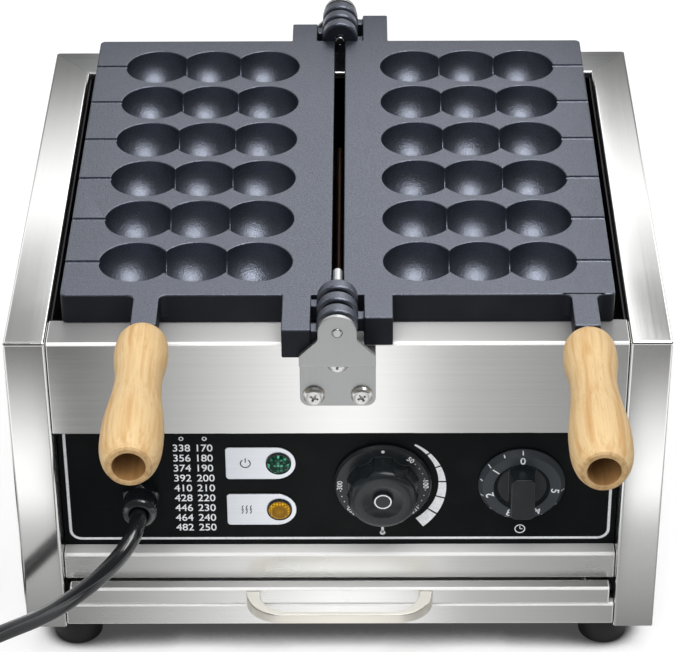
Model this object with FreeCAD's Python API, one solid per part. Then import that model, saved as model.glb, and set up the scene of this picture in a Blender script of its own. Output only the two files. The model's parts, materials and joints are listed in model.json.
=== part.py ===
"""Electric waffle-ball maker: two hinged mould plates that open like a book over a steel heater box.

Millimetres. The model is built about the middle of the body, with z = 0 at the body's bottom edge and the
front at -Y. Every piece is then moved so that the feet stand on z = 0 and the whole appliance, without its
mains lead, is centred on the origin.
"""
import FreeCAD
import Part
import math
import os

V = FreeCAD.Vector

# Body shell
body_width = 340.0
body_depth = 310.0
body_height = 186.0
sheet = 1.2
bend = 0.6
seam = 0.3
strip = 22.0
rear_strip = 26.0
hem = 12.0
bottom_flange = 46.0
apron_height = 57.3
panel_recess = 16.0
rail_recess = 7.6
rail_height = 17.4
base_lip = 15.8
tray_face = 10.4
lip_hem = 5.0
vent_count = 9
vent_width = 4.0
vent_height = 34.0
vent_pitch = 12.0
vent_base = 40.0
post_width = 40.0
post_reach = 62.0
post_top_gap = 12.0
rear_screw_inset = 42.0
rear_screw_drop = 58.0

# Feet
foot_height = 20.0
foot_diameter = 29.0
foot_taper = 1.5
foot_inset_x = 25.5
foot_inset_y = 22.0
foot_pad = 12.0

# Screws shared by the shell
screw_shank = 4.0
screw_head = 10.6
screw_head_height = 3.0
screw_length = 9.0
screw_clearance = 0.25
slot_width = 1.3
slot_length = 6.0
slot_depth = 1.3
nut_height = 4.0
nut_flats = 7.0

# Mould plates
plate_thickness = 17.0
plate_seat_gap = 0.2
plate_lap = 3.5
plate_side_gap = 7.0
plate_half_gap = 3.0
plate_corner = 3.0
plate_edge = 0.8
plate_skin = 6.0
plate_skirt = 6.0
ball_diameter = 37.0
ball_pitch = 31.5
ball_wall = 3.0
ball_edge_margin = 15.0
row_offset = 1.5
row_pitch = 42.0
row_edge_margin = 10.0
stick_groove = 3.6
rib_width = 4.0
rib_height = 6.0

# Hinge
knuckle_diameter = 20.8
knuckle_width = 8.0
knuckle_gap = 3.0
knuckle_clearance = 1.0
hinge_lift = 0.25
lug_reach = 28.0
lug_overhang = 1.0
lug_slot = 3.0
pin_diameter = 5.0
pin_running = 0.06
pin_press = 0.02
front_pin_tail = 22.0
rear_pin_tail = 2.5

# Pivot brackets
bracket_sheet = 2.5
bracket_bend = 0.8
bracket_width = 38.6
bracket_drop = 37.2
bracket_shelf_drop = 1.2
bracket_shoulder = 4.6
bracket_nose = 9.8
bracket_corner = 5.0
bracket_gap = 2.0
bracket_screw_x = 12.2
bracket_screw_low = 7.0
bracket_screw_high = 27.0

# Handles
handle_bar = 13.0
left_handle_x = 97.0
right_handle_x = 125.0
left_bar_length = 26.5
right_bar_length = 28.5
left_spacer = 1.5
right_spacer = 4.0
bar_fillet = 4.0
rod_diameter = 6.0
rod_fit = 0.1
rod_depth = 18.0
grip_length = 109.0
grip_end_radius = 6.6
grip_bulge_radius = 13.3
grip_bulge_at = 13.0
grip_neck_radius = 11.6
grip_neck_at = 40.0
grip_palm_radius = 15.2
grip_palm_at = 88.0
grip_tip_radius = 10.2
grip_bore = 16.4
grip_bore_depth = 26.0
grip_nut_flats = 10.0
grip_nut_height = 5.0
washer_diameter = 12.6
washer_height = 1.2
spacer_diameter = 12.0

# Heater chamber
liner_sheet = 1.0
liner_floor_gap = 30.0
liner_top_gap = 3.0
firewall_depth = 47.0
heater_tube = 8.4
heater_bend = 12.0
heater_runs = 4
heater_pitch = 31.5
heater_inner_x = 26.0
heater_drop = 21.0
heater_front_gap = 12.0
heater_rear_gap = 18.0
heater_tail = 48.0
support_width = 15.0
support_sheet = 1.5
support_offset = 62.0
support_foot = 12.0
bush_diameter = 15.0
bush_height = 9.0
seat_gap = 0.25
probe_diameter = 6.0
probe_length = 150.0
capillary = 2.4
capillary_bend = 8.0

# Control panel
overlay = 0.5
overlay_inset = 1.2
knob_offset_z = -1.0
thermostat_x = 23.2
timer_x = 96.8
shaft_diameter = 6.0
shaft_running = 0.06
shaft_flat = 1.3
knob_gap = 0.8
knob_edge = 2.0
thermostat_skirt = 52.0
thermostat_skirt_height = 2.6
thermostat_knob_base = 39.0
thermostat_knob_top = 36.0
thermostat_knob_height = 16.5
thermostat_lobes = 6
thermostat_lobe_radius = 9.0
thermostat_lobe_depth = 2.2
thermostat_dish = 22.0
thermostat_cap = 10.0
timer_skirt = 46.0
timer_skirt_height = 4.0
timer_boss = 27.0
timer_boss_height = 6.0
timer_bar_width = 11.0
timer_bar_length = 26.0
timer_bar_height = 15.0
control_body = 40.0
control_body_depth = 24.0
control_collar = 10.0
lamp_x = 31.8
lamp_offset_z = -2.8
lamp_pitch = 30.6
lamp_plate_width = 37.1
lamp_plate_height = 20.8
lamp_plate_sheet = 0.8
lamp_plate_corner = 2.0
lamp_plate_reach = 28.0
lens_diameter = 12.0
lens_height = 2.6
lamp_barrel = 10.0
lamp_holder_length = 26.0
lamp_holder_wall = 2.0
lamp_socket = 3.0
terminal_width = 54.0
terminal_depth = 20.0
terminal_height = 16.0
terminal_x = 96.0
terminal_ways = 3
terminal_gap = 2.0
terminal_rise = 10.0

# Cable gland
gland_x = 105.3
gland_offset_z = -9.5
gland_flats = 18.5
gland_hex = 5.0
gland_dome = 17.2
gland_length = 18.0
gland_thread = 15.0
gland_inner = 9.0
gland_nut_height = 4.0
gland_fit = 0.3

# Crumb tray
tray_sheet = 1.0
tray_depth = 246.0
tray_end_gap = 3.0
tray_side_gap = 0.8
tray_gap = 0.3
tray_wall = 9.2
runner_guide = 8.0
runner_shelf = 12.0
runner_inset = 13.0
runner_sheet = 1.0
tray_handle_width = 100.0
tray_handle_reach = 20.4
tray_handle_bar = 3.2
tray_handle_leg = 7.4
tray_handle_root = 8.2
tray_handle_height = 6.0
tray_handle_radius = 19.0
tray_handle_screw = 3.0
tray_handle_grip = 6.0
tray_screw_head = 2.0

# Mains lead
cord_diameter = 9.0
cord_route = [
    (-105.3, -96.5, 97.0),
    (-105.3, -113.6, 97.0),
    (-112.2, -128.4, 91.9),
    (-124.0, -137.0, 82.9),
    (-139.0, -138.0, 69.5),
    (-156.0, -133.0, 53.0),
    (-177.0, -123.5, 35.5),
    (-202.0, -116.5, 17.0),
    (-228.0, -113.0, 5.6),
    (-252.0, -113.0, 5.6),
]
coil_inner_radius = 39.0
coil_step = 11.4
coil_growth_turns = 1.72
coil_layer = 9.6
coil_turns = 4.25
coil_samples_per_turn = 4
coil_climb_turns = 0.5
tail_route = [
    (-319.6, -45.4, 15.2),
    (-319.6, -31.4, 15.2),
    (-323.5, -16.5, 13.0),
    (-330.0, -3.0, 13.0),
]
tie_width = 12.0
tie_thickness = 0.8
tie_gap = 0.3
tie_side_gap = 0.6
tie_angle = 40.0
plug_length = 42.0
plug_width = 27.0
plug_height = 26.0
plug_relief_length = 24.0
plug_relief_radius = 7.5
blade_length = 17.0
blade_width = 6.3
blade_thickness = 1.5
blade_spacing = 12.7
earth_pin = 4.8
earth_drop = 7.9

# Values worked out from the sizes above
half_x = body_width / 2
half_y = body_depth / 2
inner_x = half_x - strip
rail_bottom = base_lip + tray_gap + tray_face + tray_gap
rail_top = rail_bottom + rail_height
apron_bottom = body_height - apron_height
panel_face = -half_y + panel_recess
panel_back = panel_face + overlay + sheet
panel_mid = (rail_top + apron_bottom) / 2
rail_face = -half_y + rail_recess
plate_bottom = body_height + plate_seat_gap
plate_top = plate_bottom + plate_thickness
plate_front = -half_y + strip - plate_lap
plate_outer = inner_x - plate_side_gap
hinge_z = plate_top + hinge_lift
knuckle_radius = knuckle_diameter / 2
knuckle_pitch = knuckle_width + knuckle_gap
first_knuckle = plate_front - knuckle_clearance
long_lug = -(first_knuckle - 2 * knuckle_pitch - knuckle_width - lug_overhang)
short_lug = -(first_knuckle - knuckle_pitch - knuckle_width - lug_overhang)
bracket_back = -long_lug - bracket_gap + lug_overhang
bracket_face = bracket_back - bracket_sheet
handle_z = plate_top - handle_bar / 2
left_grip_start = plate_front - left_bar_length - left_spacer
right_grip_start = plate_front - right_bar_length - right_spacer
shift_y = (grip_length - right_grip_start + bracket_face) / 2
liner_x = inner_x - seam
liner_rear = half_y - rear_strip - seam - liner_sheet
firewall_y = panel_face + firewall_depth
shelf_z = apron_bottom + sheet
heater_z = body_height - heater_drop
support_top = heater_z - heater_tube / 2 - seat_gap
floor_top = 2 * sheet
tray_bottom = base_lip + tray_gap
tray_top = tray_bottom + tray_face
runner_top = tray_bottom - tray_gap / 3
tray_half = inner_x - runner_inset - tray_side_gap - runner_sheet


def box(x0, x1, y0, y1, z0, z1):
    """A block between two corners, given in either order."""
    low = V(min(x0, x1), min(y0, y1), min(z0, z1))
    return Part.makeBox(abs(x1 - x0), abs(y1 - y0), abs(z1 - z0), low)


def rod(radius, start, end):
    """A round bar from one point to another."""
    run = V(*end) - V(*start)
    return Part.makeCylinder(radius, run.Length, V(*start), run)


def rounded_path(points, radii, closed):
    """A wire of straight runs joined by tangent arcs at its corners."""
    count = len(points)
    corners = [V(*p) for p in points]
    entries = []
    for i, corner in enumerate(corners):
        end_of_open = not closed and i in (0, count - 1)
        radius = 0.0 if end_of_open else radii[i]
        if radius <= 0:
            entries.append((corner, None, corner))
            continue
        back = (corners[i - 1] - corner).normalize()
        ahead = (corners[(i + 1) % count] - corner).normalize()
        half = back.getAngle(ahead) / 2
        reach = radius / math.tan(half)
        inward = (back + ahead).normalize()
        middle = corner + inward * (radius / math.sin(half) - radius)
        entries.append((corner + back * reach, middle, corner + ahead * reach))
    edges = []
    for i, (start, middle, end) in enumerate(entries):
        if middle is not None:
            edges.append(Part.Arc(start, middle, end).toShape())
        last = i == count - 1
        following = entries[(i + 1) % count][0]
        if (closed or not last) and (following - end).Length > 1e-4:
            edges.append(Part.LineSegment(end, following).toShape())
    return Part.Wire(edges)


def in_plane(plane, u, v, w):
    """The point with in-plane coordinates u and v, at w along the plane's normal."""
    return {"xy": (u, v, w), "xz": (u, w, v), "yz": (w, u, v)}[plane]


def prism(outline, plane, low, high, radii=None):
    """A flat outline with rounded corners, pushed from low to high along the plane's normal."""
    corners = [in_plane(plane, u, v, low) for u, v in outline]
    wire = rounded_path(corners, radii or [0.0] * len(outline), True)
    travel = V(*in_plane(plane, 0, 0, high - low))
    return Part.Face(wire).extrude(travel)


def folded_sheet(line, plane, low, high, thickness=sheet, inside=bend):
    """Sheet metal folded along a line of corners, with its thickness on the right of the line."""
    runs = [V(b[0] - a[0], b[1] - a[1], 0).normalize() for a, b in zip(line, line[1:])]
    rights = [V(r.y, -r.x, 0) for r in runs]
    offset = []
    face_radii = []
    back_radii = []
    for i, (u, v) in enumerate(line):
        before = rights[max(i - 1, 0)]
        after = rights[min(i, len(rights) - 1)]
        if i in (0, len(line) - 1):
            shift = (after if i == 0 else before) * thickness
            face_radii.append(0.0)
            back_radii.append(0.0)
        else:
            shift = (before + after) * (thickness / (1 + before.dot(after)))
            turns_right = runs[i - 1].x * runs[i].y - runs[i - 1].y * runs[i].x < 0
            face_radii.append(inside + thickness if turns_right else inside)
            back_radii.append(inside if turns_right else inside + thickness)
        offset.append((u + shift.x, v + shift.y))
    outline = list(line) + offset[::-1]
    return prism(outline, plane, low, high, face_radii + back_radii[::-1])


def hexagon(flats, start, end):
    """A hexagonal bar along the line from start to end."""
    run = V(*end) - V(*start)
    corner = flats / math.sqrt(3)
    side = V(0, 0, 1) if abs(run.z) < run.Length / 2 else V(1, 0, 0)
    turn = FreeCAD.Rotation(run, 60)
    points = [side * corner]
    for _ in range(5):
        points.append(turn.multVec(points[-1]))
    points = [V(*start) + p for p in points]
    return Part.Face(Part.makePolygon(points + points[:1])).extrude(run)


def ring(outer, inner, start, end):
    """A round collar along the line from start to end."""
    return rod(outer, start, end).cut(rod(inner, start, end))


def tube_along(wire, radius):
    """A solid round tube along a wire, checked against its section times its length."""
    start = wire.Edges[0]
    tangent = start.tangentAt(start.FirstParameter)
    profile = Part.Wire(Part.makeCircle(radius, start.valueAt(start.FirstParameter), tangent))
    solid = wire.makePipeShell([profile], True, False)
    expected = math.pi * radius ** 2 * wire.Length
    print("tube of %.0f mm: volume is %.4f of section times length" % (wire.Length, solid.Volume / expected))
    return solid


def turned(shape, angle=180.0):
    """A copy turned about the upright through the middle of the body."""
    copy = shape.copy()
    copy.rotate(V(0, 0, 0), V(0, 0, 1), angle)
    return copy


def mirrored(shape):
    """A copy reflected from the left half to the right half."""
    return shape.mirror(V(0, 0, 0), V(1, 0, 0))


def pan_screw(head_seat, direction, length=screw_length, shank=screw_shank, head=screw_head):
    """A pan-head screw whose head sits on head_seat, with its shank along direction."""
    seat = V(*head_seat)
    way = V(*direction).normalize()
    crown = screw_head_height * 0.55
    body = Part.makeCylinder(shank / 2, length, seat, way)
    body = body.fuse(Part.makeCylinder(head / 2, screw_head_height - crown, seat, way * -1))
    rise = seat - way * (screw_head_height - crown)
    body = body.fuse(Part.makeCone(head / 2, head * 0.32, crown, rise, way * -1))
    face = seat - way * screw_head_height
    side = way.cross(V(1, 0, 0)) if abs(way.x) < 0.5 else way.cross(V(0, 1, 0))
    for along in (side, side.cross(way)):
        across = along.cross(way)
        corner = face - along * (slot_length / 2) - across * (slot_width / 2)
        points = [corner, corner + along * slot_length]
        points += [points[1] + across * slot_width, corner + across * slot_width]
        slot = Part.Face(Part.makePolygon(points + points[:1])).extrude(way * slot_depth)
        body = body.cut(slot)
    return body.removeSplitter()


def rounded_slot(x, z, width, height, y0, y1):
    """A cutter for an upright slot with round ends."""
    half = width / 2
    outline = [(x - half, z), (x + half, z), (x + half, z + height), (x - half, z + height)]
    return prism(outline, "xz", y0, y1, [half - 0.01] * 4)


def foot_places():
    """The middle of each foot, in plan."""
    x = half_x - foot_inset_x
    y = half_y - foot_inset_y
    return [(-x, -y), (x, -y), (-x, y), (x, y)]


def left_side_panel():
    """Left side: outer wall with the top strip, the front strip and the floor flange folded from it."""
    frame = box(-half_x, -inner_x, -half_y, half_y, 0, body_height)
    folds = [e for e in frame.Edges if is_side_fold(e)]
    frame = frame.makeFillet(bend + sheet, folds)
    top = body_height - sheet
    frame = frame.cut(box(-half_x + sheet, -inner_x - sheet, -half_y + sheet, half_y + 1, sheet, top))
    frame = frame.cut(box(-inner_x - 2 * sheet, 0, panel_back, half_y + 1, sheet, body_height - hem))
    flange = box(-half_x + sheet, -half_x + bottom_flange, panel_back, half_y, 0, sheet)
    panel = frame.fuse(flange).cut(rear_corner_cut())
    for x, y in foot_places():
        if x < 0:
            panel = panel.cut(rod(screw_shank / 2 + screw_clearance, (x, y, -1), (x, y, sheet + 1)))
    return panel.removeSplitter()


def is_side_fold(edge):
    """Whether an edge of the left side's block is one where the sheet is folded."""
    middle = edge.CenterOfMass
    at_top = middle.z > body_height - 1e-6
    at_front = middle.y < -half_y + 1e-6
    along_top = at_top and middle.y < half_y - 1e-6
    upright_front = at_front and abs(edge.BoundBox.ZLength - body_height) < 1e-6
    return along_top or upright_front


def rear_corner_cut():
    """Cutter that mitres the left top strip to the rear one and clears the back wall of the floor flange."""
    joint = half_y - rear_strip - seam
    mitre = [(-half_x - sheet, half_y + sheet), (-inner_x + sheet, half_y + sheet), (-inner_x + sheet, joint),
             (-inner_x, joint), (-half_x, half_y - seam), (-half_x - sheet, half_y - seam)]
    corner = prism(mitre, "xy", body_height - hem - sheet, body_height + sheet)
    flange_end = -half_x + bottom_flange + 1
    floor = box(-half_x + sheet, flange_end, half_y - sheet - seam, half_y + 1, -1, sheet + 1)
    return corner.fuse(floor)


def right_side_panel():
    """Right side, the mirror of the left."""
    return mirrored(left_side_panel())


def rear_panel():
    """Back wall with its top strip mitred to the side strips, and a row of vent slots."""
    line = [
        (half_y - rear_strip, body_height - hem),
        (half_y - rear_strip, body_height),
        (half_y, body_height),
        (half_y, 0),
    ]
    end = half_x - sheet - seam
    panel = folded_sheet(line, "yz", -end, end)
    for side in (-1, 1):
        cutter = [(side * (half_x + sheet), half_y - sheet - seam), (side * half_x, half_y),
                  (side * inner_x, half_y - rear_strip), (side * inner_x, half_y - rear_strip - sheet),
                  (side * (half_x + sheet), half_y - rear_strip - sheet)]
        top = prism(cutter, "xy", body_height - hem - sheet, body_height + sheet)
        panel = panel.cut(top)
    first = -(vent_count - 1) / 2
    for i in range(vent_count):
        x = (first + i) * vent_pitch
        panel = panel.cut(rounded_slot(x, vent_base, vent_width, vent_height, half_y - 2 * sheet, half_y + 1))
    for hole in bracket_screw_places():
        panel = panel.cut(turned(screw_hole(hole)))
    for x, z in rear_screw_places():
        radius = screw_shank / 2 + screw_clearance
        panel = panel.cut(rod(radius, (x, half_y - 2 * sheet, z), (x, half_y + 1, z)))
    return panel.removeSplitter()


def rear_screw_places():
    """Where the back wall is screwed to its corner posts, in x and z."""
    x = half_x - rear_screw_inset
    low = rear_screw_inset
    high = body_height - rear_screw_drop
    return [(-x, low), (x, low), (-x, high), (x, high)]


def rear_posts():
    """Two upright angles inside the back corners that the back wall is screwed to."""
    side_face = -half_x + sheet + seam
    back_face = half_y - sheet - seam / 3
    line = [(side_face, half_y - post_width), (side_face, back_face), (-half_x + post_reach, back_face)]
    post = folded_sheet(line, "xy", floor_top, body_height - hem - post_top_gap)
    for x, z in rear_screw_places():
        radius = screw_shank / 2 + screw_clearance
        post = post.cut(rod(radius, (x, half_y - post_width, z), (x, half_y, z)))
    return Part.makeCompound([post, mirrored(post)])


def front_apron():
    """Upper front cross piece: top flange, front face and the return above the control panel."""
    line = [
        (panel_back + sheet, apron_bottom),
        (-half_y, apron_bottom),
        (-half_y, body_height),
        (-half_y + strip, body_height),
        (-half_y + strip, body_height - hem),
    ]
    end = inner_x - seam
    apron = folded_sheet(line, "yz", -end, end)
    for hole in bracket_screw_places():
        apron = apron.cut(screw_hole(hole))
    return apron


def control_panel():
    """Recessed steel panel behind the printed overlay, drilled for its controls."""
    end = inner_x - seam
    panel = box(-end, end, panel_face + overlay, panel_back, rail_bottom + sheet, apron_bottom)
    return panel.cut(panel_holes())


def panel_overlay():
    """Thin black facing stuck on the control panel."""
    end = inner_x - seam - overlay_inset
    low = rail_top + overlay_inset
    high = apron_bottom - overlay_inset
    outline = [(-end, low), (end, low), (end, high), (-end, high)]
    facing = prism(outline, "xz", panel_face, panel_face + overlay, [lamp_plate_corner] * 4)
    return facing.cut(panel_holes())


def panel_holes():
    """Cutters for the shafts, lamps and gland that pass through the control panel."""
    y0 = panel_face - 1
    y1 = panel_back + 1
    places = [
        (thermostat_x, panel_mid + knob_offset_z, control_collar / 2 + screw_clearance),
        (timer_x, panel_mid + knob_offset_z, control_collar / 2 + screw_clearance),
        (-gland_x, panel_mid + gland_offset_z, gland_thread / 2 + screw_clearance),
    ]
    for z in lamp_heights():
        places.append((-lamp_x, z, lamp_barrel / 2 + screw_clearance))
    holes = [rod(r, (x, y0, z), (x, y1, z)) for x, z, r in places]
    return holes[0].multiFuse(holes[1:])


def lower_rail():
    """Stepped cross rail between the control panel and the crumb tray."""
    line = [
        (panel_face + overlay, rail_top),
        (rail_face, rail_top),
        (rail_face, rail_bottom),
        (panel_face + overlay, rail_bottom),
    ]
    end = inner_x - seam
    return folded_sheet(line[::-1], "yz", -end, end)


def base_pan():
    """Floor of the body with the front lip below the crumb tray."""
    rear = half_y - 2 * sheet - seam
    line = [(rear, sheet), (-half_y, sheet), (-half_y, base_lip), (-half_y + lip_hem, base_lip)]
    end = inner_x - seam
    pan = folded_sheet(line, "yz", -end, end)
    wide = half_x - sheet - seam
    pan = pan.fuse(box(-wide, wide, panel_back + seam, rear, sheet, floor_top))
    for x, y in foot_places():
        pan = pan.cut(rod(screw_shank / 2 + screw_clearance, (x, y, 0), (x, y, floor_top + 1)))
    return pan.removeSplitter()


def rubber_feet():
    """Four tapered rubber feet, recessed below for their screws."""
    feet = []
    radius = foot_diameter / 2
    for x, y in foot_places():
        foot = Part.makeCone(radius - foot_taper, radius, foot_height, V(x, y, -foot_height), V(0, 0, 1))
        foot = foot.makeFillet(foot_taper, [foot.Edges[i] for i in foot_rim(foot)])
        foot = foot.cut(rod(screw_head / 2 + screw_clearance, (x, y, -foot_height - 1), (x, y, -foot_pad)))
        foot = foot.cut(rod(screw_shank / 2 + screw_clearance, (x, y, -foot_height), (x, y, 1)))
        feet.append(foot)
    return Part.makeCompound(feet)


def foot_rim(foot):
    """Index of the circular edge round the underside of a foot."""
    return [i for i, e in enumerate(foot.Edges) if abs(e.BoundBox.ZMax + foot_height) < 1e-6 and e.Closed]


def foot_screws():
    """Screws that hold the feet, heads up inside the foot recess."""
    length = foot_pad + floor_top + nut_height + 1
    return Part.makeCompound([pan_screw((x, y, -foot_pad), (0, 0, 1), length) for x, y in foot_places()])


def foot_nuts():
    """Nuts on the floor of the body that draw the feet up."""
    nuts = []
    for x, y in foot_places():
        nut = hexagon(nut_flats, (x, y, floor_top), (x, y, floor_top + nut_height))
        bore = rod(screw_shank / 2 + pin_press, (x, y, floor_top), (x, y, floor_top + nut_height))
        nuts.append(nut.cut(bore))
    return Part.makeCompound(nuts)


def row_places():
    """The y of each row of balls."""
    usable = -2 * plate_front - ball_diameter - 2 * row_edge_margin
    count = int(usable / row_pitch) + 1
    return [(i - (count - 1) / 2) * row_pitch for i in range(count)]


def ball_places():
    """The x of each ball in a row of the left plate."""
    usable = plate_outer - plate_half_gap - ball_diameter - 2 * ball_edge_margin
    count = int(usable / ball_pitch) + 1
    middle = (plate_outer + plate_half_gap) / 2 + row_offset
    return [-middle + (i - (count - 1) / 2) * ball_pitch for i in range(count)]


def knuckle(front, rear):
    """One hinge barrel with the web that joins it to the lug on the left."""
    barrel = rod(knuckle_radius, (0, front, hinge_z), (0, rear, hinge_z))
    barrel = barrel.makeFillet(plate_edge, [e for e in barrel.Edges if e.Closed])
    web = box(-knuckle_radius - lug_slot, 0, front, rear, hinge_z - knuckle_radius, plate_top)
    bore = rod(pin_diameter / 2 + pin_running, (0, front - 1, hinge_z), (0, rear + 1, hinge_z))
    return barrel.fuse(web).cut(bore)


def plate_outline(bar_x, bar_length, bar_at_front):
    """Plan outline of the left plate with its two hinge lugs and its handle bar, with corner radii."""
    lug_inner = -knuckle_radius - lug_slot
    bar_in = -bar_x + handle_bar / 2
    bar_out = -bar_x - handle_bar / 2
    side = 1 if bar_at_front else -1
    edge = plate_front * side
    bar = [
        (bar_in, edge, bar_fillet),
        (bar_in, edge - side * bar_length, plate_edge),
        (bar_out, edge - side * bar_length, plate_edge),
        (bar_out, edge, bar_fillet),
    ]
    front = [
        (-plate_half_gap, plate_front, plate_edge),
        (lug_inner, plate_front, plate_edge),
        (lug_inner, -long_lug, plate_edge),
        (-lug_reach, -long_lug, plate_edge),
        (-lug_reach, plate_front, plate_edge),
    ]
    rear = [
        (-lug_reach, -plate_front, plate_edge),
        (-lug_reach, short_lug, plate_edge),
        (lug_inner, short_lug, plate_edge),
        (lug_inner, -plate_front, plate_edge),
        (-plate_half_gap, -plate_front, plate_edge),
    ]
    corners = [(-plate_outer, plate_front, plate_corner), (-plate_outer, -plate_front, plate_corner)]
    if bar_at_front:
        return front + bar + corners + rear
    return front + corners + bar[::-1] + rear


def mould_plate(bar_x, bar_length, bar_at_front):
    """Cast plate, shaped as the left one: skirted slab, ball cavities, stick grooves, lugs and handle bar."""
    outline = plate_outline(bar_x, bar_length, bar_at_front)
    points = [(x, y) for x, y, _ in outline]
    slab = prism(points, "xy", plate_bottom, plate_top, [r for _, _, r in outline])
    side = 1 if bar_at_front else -1
    edge = plate_front * side
    bar_root = edge - side * bar_fillet
    bar_past = edge - side * bar_length * 2
    slab = slab.cut(box(-bar_x - handle_bar, -bar_x + handle_bar, bar_root, bar_past, plate_bottom - 1,
                        plate_top - handle_bar))
    rim = [e for e in slab.Edges if e.BoundBox.ZMin > plate_top - 1e-6]
    slab = slab.makeChamfer(plate_edge / 2, rim)
    pocket = [
        (-plate_half_gap - plate_skirt, plate_front + plate_skirt),
        (-plate_outer + plate_skirt, plate_front + plate_skirt),
        (-plate_outer + plate_skirt, -plate_front - plate_skirt),
        (-plate_half_gap - plate_skirt, -plate_front - plate_skirt),
    ]
    slab = slab.cut(prism(pocket, "xy", plate_bottom - 1, plate_top - plate_skin, [plate_corner] * 4))
    rows = row_places()
    ribs = []
    for low, high in zip(rows, rows[1:]):
        y = (low + high) / 2
        ribs.append(box(-plate_outer + plate_skirt, -plate_half_gap - plate_skirt, y - rib_width / 2,
                        y + rib_width / 2, plate_top - plate_skin - rib_height, plate_top - plate_skin))
    bumps = []
    cavities = []
    for y in rows:
        for x in ball_places():
            center = V(x, y, plate_top)
            bumps.append(Part.makeSphere(ball_diameter / 2 + ball_wall, center, V(0, 0, 1), -90, 0, 360))
            cavities.append(Part.makeSphere(ball_diameter / 2, center))
        groove_end = ball_places()[0]
        cavities.append(rod(stick_groove / 2, (-plate_outer - 1, y, plate_top), (groove_end, y, plate_top)))
    first = first_knuckle
    knuckles = [
        knuckle(first - knuckle_width, first),
        knuckle(first - 2 * knuckle_pitch - knuckle_width, first - 2 * knuckle_pitch),
        knuckle(-first + knuckle_pitch, -first + knuckle_pitch + knuckle_width),
    ]
    below_skin = box(-plate_outer - lug_reach, 0, -body_depth, body_depth, plate_top - plate_skin / 2,
                     plate_top + body_height)
    bumps = bumps[0].multiFuse(bumps[1:]).cut(below_skin)
    plate = slab.multiFuse(ribs + [bumps] + knuckles)
    plate = plate.cut(cavities[0].multiFuse(cavities[1:]))
    hole_start = edge - side * (bar_length + 1)
    hole = rod(rod_diameter / 2 + pin_press, (-bar_x, hole_start, handle_z),
               (-bar_x, edge - side * (bar_length - rod_depth), handle_z))
    return plate.cut(hole).removeSplitter()


def left_mould_plate():
    """Left plate with its handle bar towards the front."""
    return mould_plate(left_handle_x, left_bar_length, True)


def right_mould_plate():
    """Right plate: the same casting turned end for end, with its own handle bar."""
    return turned(mould_plate(right_handle_x, right_bar_length, False))


def grip(x, start):
    """Turned wooden grip, bored for the rod and counterbored for its nut."""
    stations = [
        (0.0, grip_end_radius),
        (grip_bulge_at * 0.3, (grip_end_radius + 2 * grip_bulge_radius) / 3),
        (grip_bulge_at, grip_bulge_radius),
        (grip_neck_at, grip_neck_radius),
        (grip_palm_at, grip_palm_radius),
        (grip_length, grip_tip_radius),
    ]
    points = [V(x + r, start - s, handle_z) for s, r in stations]
    curve = Part.BSplineCurve()
    curve.interpolate(points)
    inner_axis = V(x, start, handle_z)
    outer_axis = V(x, start - grip_length, handle_z)
    edges = [
        curve.toShape(),
        Part.LineSegment(points[-1], outer_axis).toShape(),
        Part.LineSegment(outer_axis, inner_axis).toShape(),
        Part.LineSegment(inner_axis, points[0]).toShape(),
    ]
    solid = Part.Face(Part.Wire(edges)).revolve(inner_axis, V(0, 1, 0), 360)
    tip = start - grip_length
    solid = solid.cut(rod(rod_diameter / 2 + rod_fit, (x, start + 1, handle_z), (x, tip - 1, handle_z)))
    return solid.cut(rod(grip_bore / 2, (x, tip - 1, handle_z), (x, tip + grip_bore_depth, handle_z)))


def handle_rod(x, bar_end, start):
    """Threaded rod from the cast bar through the grip, with its spacer at the bar."""
    end = start - grip_length + grip_bore_depth - grip_nut_height - washer_height - 2
    shaft = rod(rod_diameter / 2, (x, bar_end + rod_depth - 1, handle_z), (x, end, handle_z))
    return shaft.fuse(rod(spacer_diameter / 2, (x, bar_end, handle_z), (x, start, handle_z)))


def grip_nut(x, start):
    """Nut and washer at the bottom of the grip's counterbore."""
    seat = start - grip_length + grip_bore_depth
    face = seat - washer_height
    washer = rod(washer_diameter / 2, (x, seat, handle_z), (x, face, handle_z))
    nut = hexagon(grip_nut_flats, (x, face, handle_z), (x, face - grip_nut_height, handle_z))
    bore = rod(rod_diameter / 2 + pin_press, (x, seat, handle_z), (x, face - grip_nut_height, handle_z))
    return washer.fuse(nut).cut(bore).removeSplitter()


def bracket_screw_places():
    """Screw centres on the front face of the apron, in x and z."""
    low = body_height - bracket_drop
    return [
        (-bracket_screw_x, low + bracket_screw_low),
        (bracket_screw_x, low + bracket_screw_low),
        (0.0, low + bracket_screw_high),
    ]


def screw_hole(place):
    """Clearance hole through the front face for one bracket screw."""
    x, z = place
    radius = screw_shank / 2 + screw_clearance
    return rod(radius, (x, -half_y - bracket_sheet - 1, z), (x, -half_y + 2 * sheet, z))


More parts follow.
